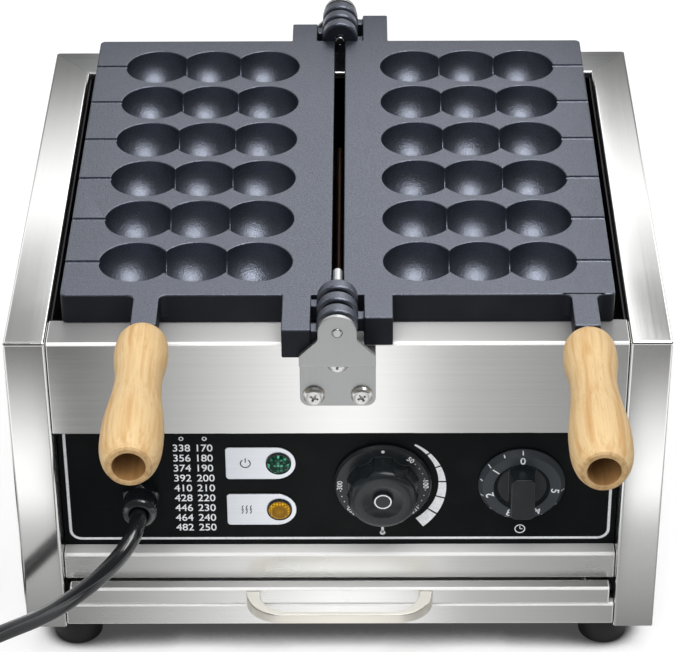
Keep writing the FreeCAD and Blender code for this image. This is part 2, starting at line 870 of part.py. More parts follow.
def front_pivot_bracket():
    """Joggled bracket that carries the hinge pin in front of the lugs."""
    foot_face = -half_y - bracket_sheet
    low = body_height - bracket_drop
    shelf = body_height - bracket_shelf_drop - bracket_sheet
    past_nose = hinge_z + bracket_width
    line = [(foot_face, low), (foot_face, shelf), (bracket_face, shelf), (bracket_face, past_nose)]
    half = bracket_width / 2
    sheet_form = folded_sheet(line, "yz", -half, half, bracket_sheet, bracket_bend)
    shoulder = shelf + bracket_sheet + bracket_shoulder
    neck = shoulder + (half - bracket_nose)
    sides = [(-half, low), (-half, shoulder), (-bracket_nose, neck), (-bracket_nose, hinge_z)]
    outline = sides + [(-x, z) for x, z in sides[::-1]]
    radii = [bracket_corner, bracket_corner / 2, bracket_corner / 2, 0.0]
    y0 = bracket_face - 1
    y1 = -half_y + 1
    window = prism(outline, "xz", y0, y1, radii + radii[::-1])
    window = window.fuse(rod(bracket_nose, (0, y0, hinge_z), (0, y1, hinge_z)))
    form = sheet_form.common(window)
    form = form.cut(rod(pin_diameter / 2 + pin_press, (0, y0, hinge_z), (0, y1, hinge_z)))
    for place in bracket_screw_places():
        form = form.cut(screw_hole(place))
    return form.removeSplitter()


def front_bracket_screws():
    """Three pan-head screws of the front bracket."""
    seat = -half_y - bracket_sheet
    return Part.makeCompound([pan_screw((x, seat, z), (0, 1, 0)) for x, z in bracket_screw_places()])


def pivot_pin(tail):
    """Hinge pin, flush in its bracket and running through the knuckles, as at the front."""
    end = first_knuckle + tail
    pin = rod(pin_diameter / 2, (0, bracket_face, hinge_z), (0, end, hinge_z))
    tip = [e for e in pin.Edges if e.Closed and e.BoundBox.YMin > end - 1e-6]
    return pin.makeFillet(pin_diameter / 4, tip)


def chamber_liner():
    """Three inner walls round the heater space, hung inside the hems of the top frame."""
    front = -half_y + strip + seam
    rear = liner_rear + liner_sheet
    line = [(-liner_x, front), (-liner_x, rear), (liner_x, rear), (liner_x, front)]
    return folded_sheet(line, "xy", liner_floor_gap, body_height - liner_top_gap, liner_sheet)


def firewall():
    """Bent heat shield: an upright behind the controls and a shelf over them."""
    shelf_top = shelf_z + liner_sheet
    line = [(panel_back - sheet, shelf_top), (firewall_y, shelf_top), (firewall_y, rail_bottom + sheet)]
    end = liner_x - liner_sheet - seam
    wall = folded_sheet(line, "yz", -end, end, liner_sheet)
    y = heater_front()
    for x in heater_tail_places():
        wall = wall.cut(rod(heater_tube / 2 + screw_clearance, (x, y, shelf_z - 1), (x, y, shelf_top + 1)))
    y = capillary_drop_y()
    return wall.cut(rod(capillary, (0, y, shelf_z - 1), (0, y, shelf_top + 1)))


def heater_front():
    """The y where the heater's cold ends drop through the shelf."""
    return panel_back + sheet + heater_front_gap


def heater_run_places():
    """The x of each straight run of the left heater, from the inside out."""
    return [-heater_inner_x - i * heater_pitch for i in range(heater_runs)]


def heater_tail_places():
    """The x of the four cold ends of both heaters."""
    runs = heater_run_places()
    return [runs[0], runs[-1], -runs[0], -runs[-1]]


def left_heater():
    """Tubular heating element: straight runs joined by half-circle bends, both ends turned down."""
    front = heater_front()
    turn_front = front + heater_front_gap
    turn_rear = liner_rear - heater_rear_gap
    runs = heater_run_places()
    half = heater_pitch / 2
    points = [(runs[0], front, heater_z - heater_tail), (runs[0], front, heater_z)]
    radii = [0.0, heater_bend]
    for i in range(heater_runs - 1):
        y = turn_rear if i % 2 == 0 else turn_front
        points += [(runs[i], y, heater_z), (runs[i + 1], y, heater_z)]
        radii += [half, half]
    points += [(runs[-1], front, heater_z), (runs[-1], front, heater_z - heater_tail)]
    radii += [heater_bend, 0.0]
    return tube_along(rounded_path(points, radii, False), heater_tube / 2)


def heater_bushes():
    """Ceramic bushes where the cold ends pass the shelf."""
    y = heater_front()
    low = shelf_z + liner_sheet
    bushes = []
    for x in heater_tail_places():
        bore = heater_tube / 2 + seat_gap
        bushes.append(ring(bush_diameter / 2, bore, (x, y, low), (x, y, low + bush_height)))
    return Part.makeCompound(bushes)


def heater_supports():
    """Two cross straps under the heaters, their ends turned down against the liner."""
    straps = []
    end = liner_x - liner_sheet - seam
    line = [
        (-end, support_top - support_foot),
        (-end, support_top),
        (end, support_top),
        (end, support_top - support_foot),
    ]
    for y in (-support_offset, support_offset):
        low = y - support_width / 2
        straps.append(folded_sheet(line, "xz", low, low + support_width, support_sheet))
    return Part.makeCompound(straps)


def capillary_drop_y():
    """The y where the probe's capillary passes the shelf."""
    return heater_front() + heater_front_gap / 2


def thermostat_probe():
    """Sensing bulb lying on the heater straps, and its capillary down to the thermostat."""
    z = support_top + probe_diameter / 2 + seat_gap
    y = capillary_drop_y()
    bulb = rod(probe_diameter / 2, (0, -probe_length / 2, z), (0, probe_length / 2, z))
    bulb = bulb.makeFillet(probe_diameter / 4, [e for e in bulb.Edges if e.Closed])
    knob_z = panel_mid + knob_offset_z
    body_top = knob_z + control_body / 2
    points = [
        (0, -probe_length / 2 + 1, z),
        (0, y, z),
        (0, y, body_top + 2 * capillary_bend),
        (thermostat_x, y, body_top + 2 * capillary_bend),
        (thermostat_x, y, body_top - capillary),
    ]
    turns = [0.0, capillary_bend, capillary_bend, capillary_bend, 0.0]
    lead = tube_along(rounded_path(points, turns, False), capillary / 2)
    return bulb.fuse(lead)


def control_housing(x, with_capillary):
    """Switch block behind the panel with its threaded collar and shaft hole."""
    z = panel_mid + knob_offset_z
    half = control_body / 2
    outline = [(x - half, z - half), (x + half, z - half), (x + half, z + half), (x - half, z + half)]
    block = prism(outline, "xz", panel_back, panel_back + control_body_depth, [plate_corner] * 4)
    block = block.fuse(rod(control_collar / 2, (x, panel_face, z), (x, panel_back + 1, z)))
    bore_end = panel_back + control_body_depth / 2
    block = block.cut(rod(shaft_diameter / 2 + shaft_running, (x, panel_face - 1, z), (x, bore_end, z)))
    if with_capillary:
        y = capillary_drop_y()
        well = rod(capillary / 2 + seat_gap, (x, y, z + half - 2 * capillary), (x, y, z + half + 1))
        block = block.cut(well)
    return block


def control_shaft(x, reach):
    """Shaft with a flat, from inside the switch block to the knob."""
    z = panel_mid + knob_offset_z
    inner = panel_back + control_body_depth / 2 - 1
    outer = panel_face - reach
    shaft = rod(shaft_diameter / 2, (x, inner, z), (x, outer, z))
    return shaft.cut(shaft_flat_cut(x, z, panel_face - knob_gap, outer - 1))


def shaft_flat_cut(x, z, inner, outer, grow=0.0):
    """Cutter for the flat on a shaft."""
    top = z + shaft_diameter / 2 - shaft_flat + grow
    return box(x - shaft_diameter, x + shaft_diameter, inner, outer, top, z + shaft_diameter)


def knob_bore(x, z, depth):
    """Cutter for the flatted hole on the back of a knob."""
    back = panel_face - knob_gap
    hole = rod(shaft_diameter / 2 + rod_fit, (x, back + 1, z), (x, back - depth, z))
    return hole.cut(shaft_flat_cut(x, z, back + 2, back - depth - 1, rod_fit))


def thermostat_knob():
    """Round lobed knob on a wide scale skirt, with a dished front and a raised cap."""
    x = thermostat_x
    z = panel_mid + knob_offset_z
    back = panel_face - knob_gap
    waist = back - thermostat_skirt_height
    front = back - thermostat_knob_height
    rise = V(0, -1, 0)
    outer = thermostat_skirt / 2
    skirt = Part.makeCone(outer, outer - 1, thermostat_skirt_height, V(x, back, z), rise)
    root = thermostat_knob_base / 2
    body = Part.makeCone(root, thermostat_knob_top / 2, waist - front, V(x, waist, z), rise)
    body = body.makeFillet(knob_edge, [e for e in body.Edges if e.Closed and e.BoundBox.YMax < front + 1e-6])
    reach = thermostat_knob_base / 2 + thermostat_lobe_radius - thermostat_lobe_depth
    for i in range(thermostat_lobes):
        angle = math.radians(360.0 / thermostat_lobes * (i + 0.5))
        cx = x + reach * math.sin(angle)
        cz = z + reach * math.cos(angle)
        body = body.cut(rod(thermostat_lobe_radius, (cx, waist, cz), (cx, front - 1, cz)))
    dish = Part.makeSphere(thermostat_dish, V(x, front - thermostat_dish * 0.87, z))
    knob = skirt.fuse(body).cut(dish)
    knob = knob.fuse(rod(thermostat_cap / 2, (x, waist, z), (x, front + 0.6, z)))
    return knob.cut(knob_bore(x, z, thermostat_knob_height / 2)).removeSplitter()


def timer_knob():
    """Dial skirt with a sunk boss and a bar to turn it by."""
    x = timer_x
    z = panel_mid + knob_offset_z
    back = panel_face - knob_gap
    rise = V(0, -1, 0)
    skirt = Part.makeCone(timer_skirt / 2, timer_skirt / 2 - 2.5, timer_skirt_height, V(x, back, z), rise)
    boss = rod(timer_boss / 2, (x, back, z), (x, back - timer_boss_height, z))
    boss = boss.makeFillet(1.5, [e for e in boss.Edges if e.Closed and e.BoundBox.YMax < back - 1])
    half = timer_bar_width / 2
    low = z - timer_bar_length / 2
    high = z + timer_bar_length / 2
    outline = [(x - half, low), (x + half, low), (x + half, high), (x - half, high)]
    bar = prism(outline, "xz", back, back - timer_bar_height, [half * 0.6] * 4)
    bar = bar.makeFillet(1.2, [e for e in bar.Edges if e.BoundBox.YMax < back - timer_bar_height + 1e-6])
    knob = skirt.multiFuse([boss, bar])
    return knob.cut(knob_bore(x, z, timer_bar_height * 0.7)).removeSplitter()


def lamp_heights():
    """The z of the upper and the lower pilot lamp."""
    middle = panel_mid + lamp_offset_z
    return [middle + lamp_pitch / 2, middle - lamp_pitch / 2]


def lamp_plate(z):
    """Bright label plate, square at the left and round at the lamp."""
    left = -lamp_x - lamp_plate_reach
    right = left + lamp_plate_width
    half = lamp_plate_height / 2
    outline = [(left, z - half), (right, z - half), (right, z + half), (left, z + half)]
    corner = lamp_plate_corner
    round_end = half - 0.01
    radii = [corner, round_end, round_end, corner]
    plate = prism(outline, "xz", panel_face - lamp_plate_sheet, panel_face, radii)
    y1 = panel_face + 1
    return plate.cut(rod(lamp_barrel / 2 + screw_clearance, (-lamp_x, y1 - 4, z), (-lamp_x, y1, z)))


def lamp_lens(z):
    """Domed lamp lens with its barrel through the panel."""
    seat = panel_face - lamp_plate_sheet
    lens = rod(lens_diameter / 2, (-lamp_x, seat, z), (-lamp_x, seat - lens_height, z))
    rim = [e for e in lens.Edges if e.Closed and e.BoundBox.YMax < seat - 1]
    lens = lens.makeFillet(lens_height * 0.55, rim)
    return lens.fuse(rod(lamp_barrel / 2, (-lamp_x, seat, z), (-lamp_x, panel_back + 2, z)))


def lamp_holders():
    """Lamp bodies behind the panel, one for each lens."""
    holders = []
    radius = lamp_barrel / 2 + lamp_holder_wall
    seat = panel_back + lamp_socket
    for z in lamp_heights():
        body = rod(radius, (-lamp_x, panel_back, z), (-lamp_x, panel_back + lamp_holder_length, z))
        socket = rod(lamp_barrel / 2 + seat_gap, (-lamp_x, panel_back - 1, z), (-lamp_x, seat, z))
        holders.append(body.cut(socket))
    return Part.makeCompound(holders)


def terminal_block():
    """Ceramic terminal block on a shelf from the firewall, with open wire ways."""
    x0 = -terminal_x - terminal_width / 2
    x1 = x0 + terminal_width
    wall = firewall_y - 2 * liner_sheet
    y1 = wall - terminal_gap
    y0 = y1 - terminal_depth
    low = tray_top + terminal_rise
    block = box(x0, x1, y0, y1, low, low + terminal_height)
    pitch = terminal_width / terminal_ways
    z = low + terminal_height / 2
    for i in range(terminal_ways):
        x = x0 + pitch * (i + 0.5)
        block = block.cut(rod(pitch / 4, (x, y0 - 1, z), (x, y1 + 1, z)))
    shelf = folded_sheet([(y0, low), (wall, low), (wall, low + terminal_height)], "yz", x0, x1, liner_sheet)
    return block.fuse(shelf).removeSplitter()


def cable_gland():
    """Gland body: hexagon against the panel, thread through it and a domed clamp nut."""
    x = -gland_x
    z = panel_mid + gland_offset_z
    hex_face = panel_face - gland_hex
    tip = panel_face - gland_length
    body = hexagon(gland_flats, (x, panel_face, z), (x, hex_face, z))
    dome = rod(gland_dome / 2, (x, hex_face, z), (x, tip, z))
    dome = dome.makeFillet(3.0, [e for e in dome.Edges if e.Closed and e.BoundBox.YMax < hex_face - 1])
    thread = rod(gland_thread / 2, (x, panel_face, z), (x, panel_back + gland_inner, z))
    bore = rod(cord_diameter / 2 + gland_fit, (x, tip - 1, z), (x, panel_back + gland_inner + 1, z))
    return body.multiFuse([dome, thread]).cut(bore).removeSplitter()


def gland_locknut():
    """Nut that clamps the gland from behind the panel."""
    x = -gland_x
    z = panel_mid + gland_offset_z
    end = panel_back + gland_nut_height
    nut = hexagon(gland_flats, (x, panel_back, z), (x, end, z))
    return nut.cut(rod(gland_thread / 2 + pin_press, (x, panel_back, z), (x, end, z)))


def tray_runners():
    """Two folded runners on the floor that carry and guide the crumb tray."""
    guide = inner_x - runner_inset
    web = guide - runner_shelf
    shelf = runner_top - runner_sheet
    line = [(guide, runner_top + runner_guide), (guide, shelf), (web, shelf), (web, floor_top),
            (web - runner_shelf, floor_top)]
    front = rail_face + 2 * tray_sheet
    runner = folded_sheet(line, "xz", front, rail_face + tray_depth, runner_sheet)
    return Part.makeCompound([runner, mirrored(runner)])


def crumb_tray():
    """Shallow sliding tray whose hollow front fills the slot below the lower rail."""
    rear = rail_face + tray_depth
    lip = [(-half_y, tray_bottom), (-half_y, tray_top), (rail_face, tray_top), (rail_face, tray_bottom)]
    end = inner_x - tray_end_gap
    front = folded_sheet(lip, "yz", -end, end, tray_sheet)
    high = tray_bottom + tray_wall
    front_wall = rail_face - tray_sheet
    floor = tray_bottom + tray_sheet
    line = [(front_wall, floor), (rear, floor), (rear, high)]
    pan = folded_sheet(line, "yz", -tray_half, tray_half, tray_sheet)
    inner = tray_half - tray_sheet
    sides = []
    for side in (-1, 1):
        sides.append(box(side * tray_half, side * inner, front_wall, rear + tray_sheet, tray_bottom, high))
    tray = front.multiFuse([pan] + sides)
    z = tray_handle_z()
    radius = tray_handle_screw / 2 + screw_clearance
    for x in tray_screw_places():
        tray = tray.cut(rod(radius, (x, -half_y - 1, z), (x, -half_y + 2 * tray_sheet, z)))
    return tray.removeSplitter()


def tray_handle_z():
    """Middle height of the tray handle."""
    return (tray_bottom + tray_top) / 2 - 0.4


def tray_screw_places():
    """The x of the two tray handle screws."""
    x = (tray_handle_width - tray_handle_leg) / 2
    return [-x, x]


def tray_handle():
    """Cast bow handle: broad legs sweeping into a slim bar, tapering towards the front."""
    half = tray_handle_width / 2
    y0 = -half_y
    y1 = -half_y - tray_handle_reach
    bar = y1 + tray_handle_bar
    outer = [(-half, y0), (-half, y1), (half, y1), (half, y0)]
    inner = [(-half + tray_handle_leg, y0), (-half + tray_handle_leg, bar), (half - tray_handle_leg, bar),
             (half - tray_handle_leg, y0)]
    z = tray_handle_z()
    low = z - tray_handle_root
    high = z + tray_handle_root
    sweep = tray_handle_radius
    body = prism(outer, "xy", low, high, [0, sweep, sweep, 0])
    gap = prism(inner, "xy", low, high, [0, sweep - tray_handle_leg / 2, sweep - tray_handle_leg / 2, 0])
    top = z + tray_handle_root / 2
    side = [(y0, z - tray_handle_root / 2), (y1 - 1, top - tray_handle_height), (y1 - 1, top), (y0, top)]
    handle = body.cut(gap).common(prism(side, "yz", -half, half))
    radius = tray_handle_screw / 2 + pin_press
    for x in tray_screw_places():
        handle = handle.cut(rod(radius, (x, y0 + 1, z), (x, y0 - tray_handle_grip, z)))
    return handle.removeSplitter()


def tray_handle_screws():
    """Screws from inside the tray front into the handle legs."""
    seat = -half_y + tray_sheet
    z = tray_handle_z()
    tip = seat - tray_sheet - tray_handle_grip + 1
    screws = []
    for x in tray_screw_places():
        shank = rod(tray_handle_screw / 2, (x, seat, z), (x, tip, z))
        screws.append(shank.fuse(rod(tray_handle_screw, (x, seat, z), (x, seat + tray_screw_head, z))))
    return Part.makeCompound(screws)


def rear_panel_screws():
    """Pan-head screws in the corners of the back wall."""
    return Part.makeCompound([pan_screw((x, half_y, z), (0, -1, 0)) for x, z in rear_screw_places()])


def route_radii(route):
    """The radius of each bend of a cord: 0.45 of its shorter run over the tangent of half its turn."""
    radii = [0.0]
    points = [V(*p) for p in route]
    for a, b, c in zip(points, points[1:], points[2:]):
        turn = (b - a).getAngle(c - b)
        radii.append(0.45 * min((b - a).Length, (c - b).Length) / math.tan(turn / 2))
    print("cord radii:", ["%.0f" % r for r in radii[1:]])
    return radii + [0.0]


def power_cord():
    """Free stretch of the mains lead from the gland to the coil."""
    return tube_along(rounded_path(cord_route, route_radii(cord_route), False), cord_diameter / 2)


def cord_tail():
    """Short stretch from the coil to the plug."""
    return tube_along(rounded_path(tail_route, route_radii(tail_route), False), cord_diameter / 2)


def coil_outer_radius():
    """Radius at which the lead enters and leaves the coil."""
    return coil_inner_radius + coil_step * coil_growth_turns


def coil_center():
    """Middle of the coil, so that the lead runs into it straight from its free stretch."""
    end = V(*cord_route[-1])
    return end + V(-cord_diameter, coil_outer_radius(), 0)


def coil_radius(turn):
    """Distance from the middle of the coil after so many turns, in and out again."""
    past_climb = abs(turn - coil_turns / 2) - coil_climb_turns / 2
    return coil_inner_radius + coil_step * min(max(past_climb, 0.0), coil_growth_turns)


def coil_point(turn):
    """Middle of the lead after so many turns, spiralling in, climbing a layer and spiralling out again."""
    radius = coil_radius(turn)
    climb = min(max((turn - coil_turns / 2) / coil_climb_turns + 0.5, 0.0), 1.0)
    lift = coil_layer * climb * climb * (3 - 2 * climb)
    angle = -math.pi / 2 - 2 * math.pi * turn
    return coil_center() + V(radius * math.cos(angle), radius * math.sin(angle), lift)


def coil_tangent(turn):
    """Direction of the lead at a place in the coil."""
    step = 1e-4
    low = max(turn - step, 0.0)
    high = min(turn + step, coil_turns)
    return (coil_point(high) - coil_point(low)).normalize()


def biarc(start, start_way, end, end_way):
    """Two tangent arcs from one point and direction to another."""
    chord = end - start
    ways = start_way + end_way
    along = chord.dot(ways)
    spread = 2 * (1 - start_way.dot(end_way))
    reach = (-along + math.sqrt(along ** 2 + spread * chord.dot(chord))) / spread
    first = start + start_way * reach
    second = end - end_way * reach
    joint = (first + second) * 0.5
    return [arc_from(start, first, joint), arc_from(joint, second, end)]


def arc_from(start, corner, end):
    """The arc from start to end whose end tangents meet at corner."""
    back = (start - corner).normalize()
    ahead = (end - corner).normalize()
    half = back.getAngle(ahead) / 2
    radius = (start - corner).Length * math.tan(half)
    middle = corner + (back + ahead).normalize() * (radius / math.sin(half) - radius)
    return Part.Arc(start, middle, end).toShape()


def cord_coil():
    """The put-away length of the lead: one unbroken tube wound in two layers, its ends run out straight."""
    count = round(coil_turns * coil_samples_per_turn)
    turns = [i * coil_turns / count for i in range(count + 1)]
    start = coil_point(0)
    end = coil_point(coil_turns)
    start_way = coil_tangent(0)
    end_way = coil_tangent(coil_turns)
    edges = [Part.LineSegment(start - start_way * cord_diameter, start).toShape()]
    for a, b in zip(turns, turns[1:]):
        edges += biarc(coil_point(a), coil_tangent(a), coil_point(b), coil_tangent(b))
    edges.append(Part.LineSegment(end, end + end_way * cord_diameter).toShape())
    print("coil runs from", start - start_way * cord_diameter, "to", end + end_way * cord_diameter, end_way)
    print("coil's least gap to itself: %.2f mm" % coil_gap())
    return tube_along(Part.Wire(edges), cord_diameter / 2)


def coil_gap():
    """Least clear distance between two passes of the coil, measured on points."""
    per_turn = 90
    apart = per_turn // 4
    points = [coil_point(i / per_turn) for i in range(int(coil_turns * per_turn) + 1)]
    least = coil_outer_radius()
    for i, point in enumerate(points):
        for other in points[i + apart:]:
            least = min(least, (point - other).Length)
    return least - cord_diameter


def tie_radii():
    """Radius of each pass of the coil under the tie."""
    first = (-90 - tie_angle) / 360 % 1
    turns = [first + i for i in range(math.ceil(coil_turns)) if first + i < coil_turns]
    return [coil_radius(turn) for turn in turns]


def cord_tie():
    """Strap closed round the coil's bundle."""
    middle = coil_center()
    half = cord_diameter / 2
    nearest = min(tie_radii()) - half
    near = math.sqrt(nearest ** 2 - (tie_width / 2) ** 2) - tie_side_gap
    far = max(tie_radii()) + half + tie_side_gap
    low = middle.z - half - tie_gap
    high = middle.z + coil_layer + half + tie_gap
    inner = [(near, low), (far, low), (far, high), (near, high)]
    t = tie_thickness
    outer = [(near - t, low - t), (far + t, low - t), (far + t, high + t), (near - t, high + t)]
    corner = cord_diameter / 4
    band = prism(outer, "xz", -tie_width / 2, tie_width / 2, [corner + t] * 4)
    band = band.cut(prism(inner, "xz", -tie_width / 2, tie_width / 2, [corner] * 4))
    band.rotate(V(0, 0, 0), V(0, 0, 1), tie_angle)
    band.translate(V(middle.x, middle.y, 0))
    return band


def plug_frame():
    """Where the plug starts and which way it points, level with the floor."""
    start = V(*tail_route[-1])
    way = start - V(*tail_route[-2])
    way.z = 0
    return start, way.normalize()


def power_plug():
    """Moulded plug: tapered strain relief, waisted grip and flat face."""
    start, way = plug_frame()
    side = V(0, 0, 1).cross(way)
    sections = [
        (0.0, plug_relief_radius - 1.5, plug_relief_radius - 1.5),
        (plug_relief_length, plug_relief_radius, plug_relief_radius),
        (plug_relief_length + 6, plug_width / 2 - 4, plug_height / 2 - 4),
        (plug_relief_length + 16, plug_width / 2 - 2.5, plug_height / 2 - 2.5),
        (plug_relief_length + plug_length - 8, plug_width / 2, plug_height / 2),
        (plug_relief_length + plug_length, plug_width / 2, plug_height / 2),
    ]
    wires = []
    for along, half_u, half_v in sections:
        center = start + way * along
        corner = min(half_u, half_v) * 0.55
        square = [(-half_u, -half_v), (half_u, -half_v), (half_u, half_v), (-half_u, half_v)]
        points = [tuple(center + side * u + V(0, 0, v)) for u, v in square]
        wires.append(rounded_path(points, [corner] * 4, True))
    return Part.makeLoft(wires, True, True)


def plug_prongs():
    """Two flat blades and a round earth pin standing out of the plug's face."""
    start, way = plug_frame()
    side = V(0, 0, 1).cross(way)
    face = start + way * (plug_relief_length + plug_length)
    prongs = []
    for sign in (-1, 1):
        middle = face + side * (sign * blade_spacing / 2) + V(0, 0, earth_drop / 2)
        points = []
        for u, v in ((-1, -1), (1, -1), (1, 1), (-1, 1)):
            points.append(middle + side * (u * blade_thickness / 2) + V(0, 0, v * blade_width / 2))
        prongs.append(Part.Face(Part.makePolygon(points + points[:1])).extrude(way * blade_length))
    earth = face - V(0, 0, earth_drop / 2)
    pin = Part.makeCylinder(earth_pin / 2, blade_length + 3, earth, way)
    tip = [e for e in pin.Edges if e.Closed and (e.CenterOfMass - earth).Length > blade_length]
    prongs.append(pin.makeFillet(earth_pin / 4, tip))
    return Part.makeCompound(prongs)


def pieces():
    """Every piece of the appliance by its node name."""
    upper, lower = lamp_heights()
    bar_left = plate_front - left_bar_length
    bar_right = plate_front - right_bar_length
    return {
        "left_side_panel": left_side_panel(),
        "right_side_panel": right_side_panel(),
        "rear_panel": rear_panel(),
        "rear_posts": rear_posts(),
        "rear_panel_screws": rear_panel_screws(),
        "front_apron": front_apron(),
        "control_panel": control_panel(),
        "panel_overlay": panel_overlay(),
        "lower_rail": lower_rail(),
        "base_pan": base_pan(),
        "rubber_feet": rubber_feet(),
        "foot_screws": foot_screws(),
        "foot_nuts": foot_nuts(),
        "chamber_liner": chamber_liner(),
        "firewall": firewall(),
        "left_heater": left_heater(),
        "right_heater": mirrored(left_heater()),
        "heater_bushes": heater_bushes(),
        "heater_supports": heater_supports(),
        "thermostat_probe": thermostat_probe(),
        "thermostat_body": control_housing(thermostat_x, True),
        "timer_body": control_housing(timer_x, False),
        "thermostat_shaft": control_shaft(thermostat_x, thermostat_knob_height / 2),
        "timer_shaft": control_shaft(timer_x, timer_bar_height / 2),
        "thermostat_knob": thermostat_knob(),
        "timer_knob": timer_knob(),
        "power_lamp_plate": lamp_plate(upper),
        "heat_lamp_plate": lamp_plate(lower),
        "power_lamp_lens": lamp_lens(upper),
        "heat_lamp_lens": lamp_lens(lower),
        "lamp_holders": lamp_holders(),
        "terminal_block": terminal_block(),
        "cable_gland": cable_gland(),
        "gland_locknut": gland_locknut(),
        "tray_runners": tray_runners(),
        "crumb_tray": crumb_tray(),
        "tray_handle": tray_handle(),
        "tray_handle_screws": tray_handle_screws(),
        "front_pivot_bracket": front_pivot_bracket(),
        "rear_pivot_bracket": turned(front_pivot_bracket()),
        "front_bracket_screws": front_bracket_screws(),
        "rear_bracket_screws": turned(front_bracket_screws()),
        "front_pivot_pin": pivot_pin(front_pin_tail),
        "rear_pivot_pin": turned(pivot_pin(rear_pin_tail)),
        "left_mould_plate": left_mould_plate(),
        "right_mould_plate": right_mould_plate(),
        "left_handle_rod": handle_rod(-left_handle_x, bar_left, left_grip_start),
        "right_handle_rod": handle_rod(right_handle_x, bar_right, right_grip_start),
        "left_grip": grip(-left_handle_x, left_grip_start),
        "right_grip": grip(right_handle_x, right_grip_start),
        "left_grip_nut": grip_nut(-left_handle_x, left_grip_start),
        "right_grip_nut": grip_nut(right_handle_x, right_grip_start),
    }


def lead_pieces():
    """The mains lead and what is on it, already in the frame that is written out."""
    return {
        "power_cord": power_cord(),
        "cord_coil": cord_coil(),
        "cord_tail": cord_tail(),
        "cord_tie": cord_tie(),
        "power_plug": power_plug(),
        "plug_prongs": plug_prongs(),
    }


def main():
    """Build every piece and write one STEP file for each."""
    os.makedirs("parts", exist_ok=True)
    placed = {}
    for name, shape in pieces().items():
        shape.translate(V(0, shift_y, foot_height))
        placed[name] = shape
    placed.update(lead_pieces())
    for name, shape in placed.items():
        if not shape.isValid():
            print("not valid:", name)
        shape.exportStep("parts/%s.step" % name)
    print(len(placed), "pieces, shift", shift_y)


main()
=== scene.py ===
"""Studio scene of an electric waffle-ball maker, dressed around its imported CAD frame.

Shapes are modelled in millimetres of the part's own frame: +X to the right, -Y to the front, +Z up.
"""
import json
import logging
import math
from dataclasses import dataclass
from enum import Enum
from typing import Any, Callable, Sequence

import bmesh
import bpy
from mathutils import Color, Matrix, Vector

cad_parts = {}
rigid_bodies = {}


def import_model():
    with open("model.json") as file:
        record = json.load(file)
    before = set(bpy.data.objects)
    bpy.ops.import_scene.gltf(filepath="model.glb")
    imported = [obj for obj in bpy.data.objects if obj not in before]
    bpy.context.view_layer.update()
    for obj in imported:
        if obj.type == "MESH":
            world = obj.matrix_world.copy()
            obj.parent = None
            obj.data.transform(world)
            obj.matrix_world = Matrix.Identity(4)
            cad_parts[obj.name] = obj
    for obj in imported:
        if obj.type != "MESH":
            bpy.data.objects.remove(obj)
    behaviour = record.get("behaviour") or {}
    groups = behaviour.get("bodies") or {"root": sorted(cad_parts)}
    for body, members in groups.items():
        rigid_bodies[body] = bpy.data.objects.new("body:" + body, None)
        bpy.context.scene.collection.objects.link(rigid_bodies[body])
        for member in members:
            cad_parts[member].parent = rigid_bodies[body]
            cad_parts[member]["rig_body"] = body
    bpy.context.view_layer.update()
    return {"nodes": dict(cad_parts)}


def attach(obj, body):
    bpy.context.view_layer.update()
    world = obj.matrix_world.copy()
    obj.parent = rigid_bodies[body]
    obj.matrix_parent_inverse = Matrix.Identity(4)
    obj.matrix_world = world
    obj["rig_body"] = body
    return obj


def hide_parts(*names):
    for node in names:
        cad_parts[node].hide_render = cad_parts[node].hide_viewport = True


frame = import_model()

LOG = logging.getLogger("waffle_ball_maker")
MM = 0.001
TINY = 1e-4
ARC_STEPS = 8
TUBE_STEPS = 6
SHARP = math.radians(32)
FLAT = math.radians(0.5)
MERGE = 0.002
INK = 0.05
LEDGE_FACING = 0.97
FOLD_FACING = 0.12
UP = (0.0, 0.0, 1.0)
FRONT = (0, -1, 0)
WHITE = (1, 1, 1, 1)

Colour = tuple[float, float, float, float]
Outline = Sequence[tuple[float, float, float]]
Route = Sequence[tuple[float, float, float]]


class Body(Enum):
    """The moving bodies of the appliance."""

    CHASSIS = "chassis"
    LEFT_PLATE = "left_plate"
    RIGHT_PLATE = "right_plate"
    TRAY = "tray"
    THERMOSTAT = "thermostat_dial"
    TIMER = "timer_dial"


class Cut(Enum):
    """What one shape does to another."""

    ADD = "UNION"
    TAKE = "DIFFERENCE"
    KEEP = "INTERSECT"


class Plane(Enum):
    """The plane of a flat outline: the axes of its two directions and of its normal."""

    XY = (0, 1, 2)
    XZ = (0, 2, 1)
    YZ = (1, 2, 0)

    def point(self, u: float, v: float, w: float) -> Vector:
        """Place in-plane coordinates u and v at w along the normal.

        Args:
            u: place along the first direction.
            v: place along the second.
            w: place along the normal.

        Returns:
            The point.
        """
        place = Vector((0.0, 0.0, 0.0))
        for axis, value in zip(self.value, (u, v, w)):
            place[axis] = value
        return place


class Lamp(Enum):
    """What a lamp gives, by the kind of ray that it is hidden from."""

    FORM = "visible_glossy"
    SPARKLE = "visible_diffuse"


class Grain(Enum):
    """Direction of a drawn or grown grain, as the scale of its noise along X, Y and Z."""

    ALONG_X = (6.0, 900.0, 900.0)
    ALONG_Y = (900.0, 6.0, 900.0)
    ALONG_Z = (900.0, 900.0, 6.0)


def srgb(red: int, green: int, blue: int) -> Colour:
    """Turn an 8-bit screen colour into the linear one that shaders take."""
    linear = Color((red / 255, green / 255, blue / 255)).from_srgb_to_scene_linear()
    return (linear.r, linear.g, linear.b, 1.0)


def toned(colour: Colour, factor: float, lift: float = 0.0) -> Colour:
    """A darker or lighter tone of a colour."""
    return (*(min(1.0, part * factor + lift) for part in colour[:3]), 1.0)


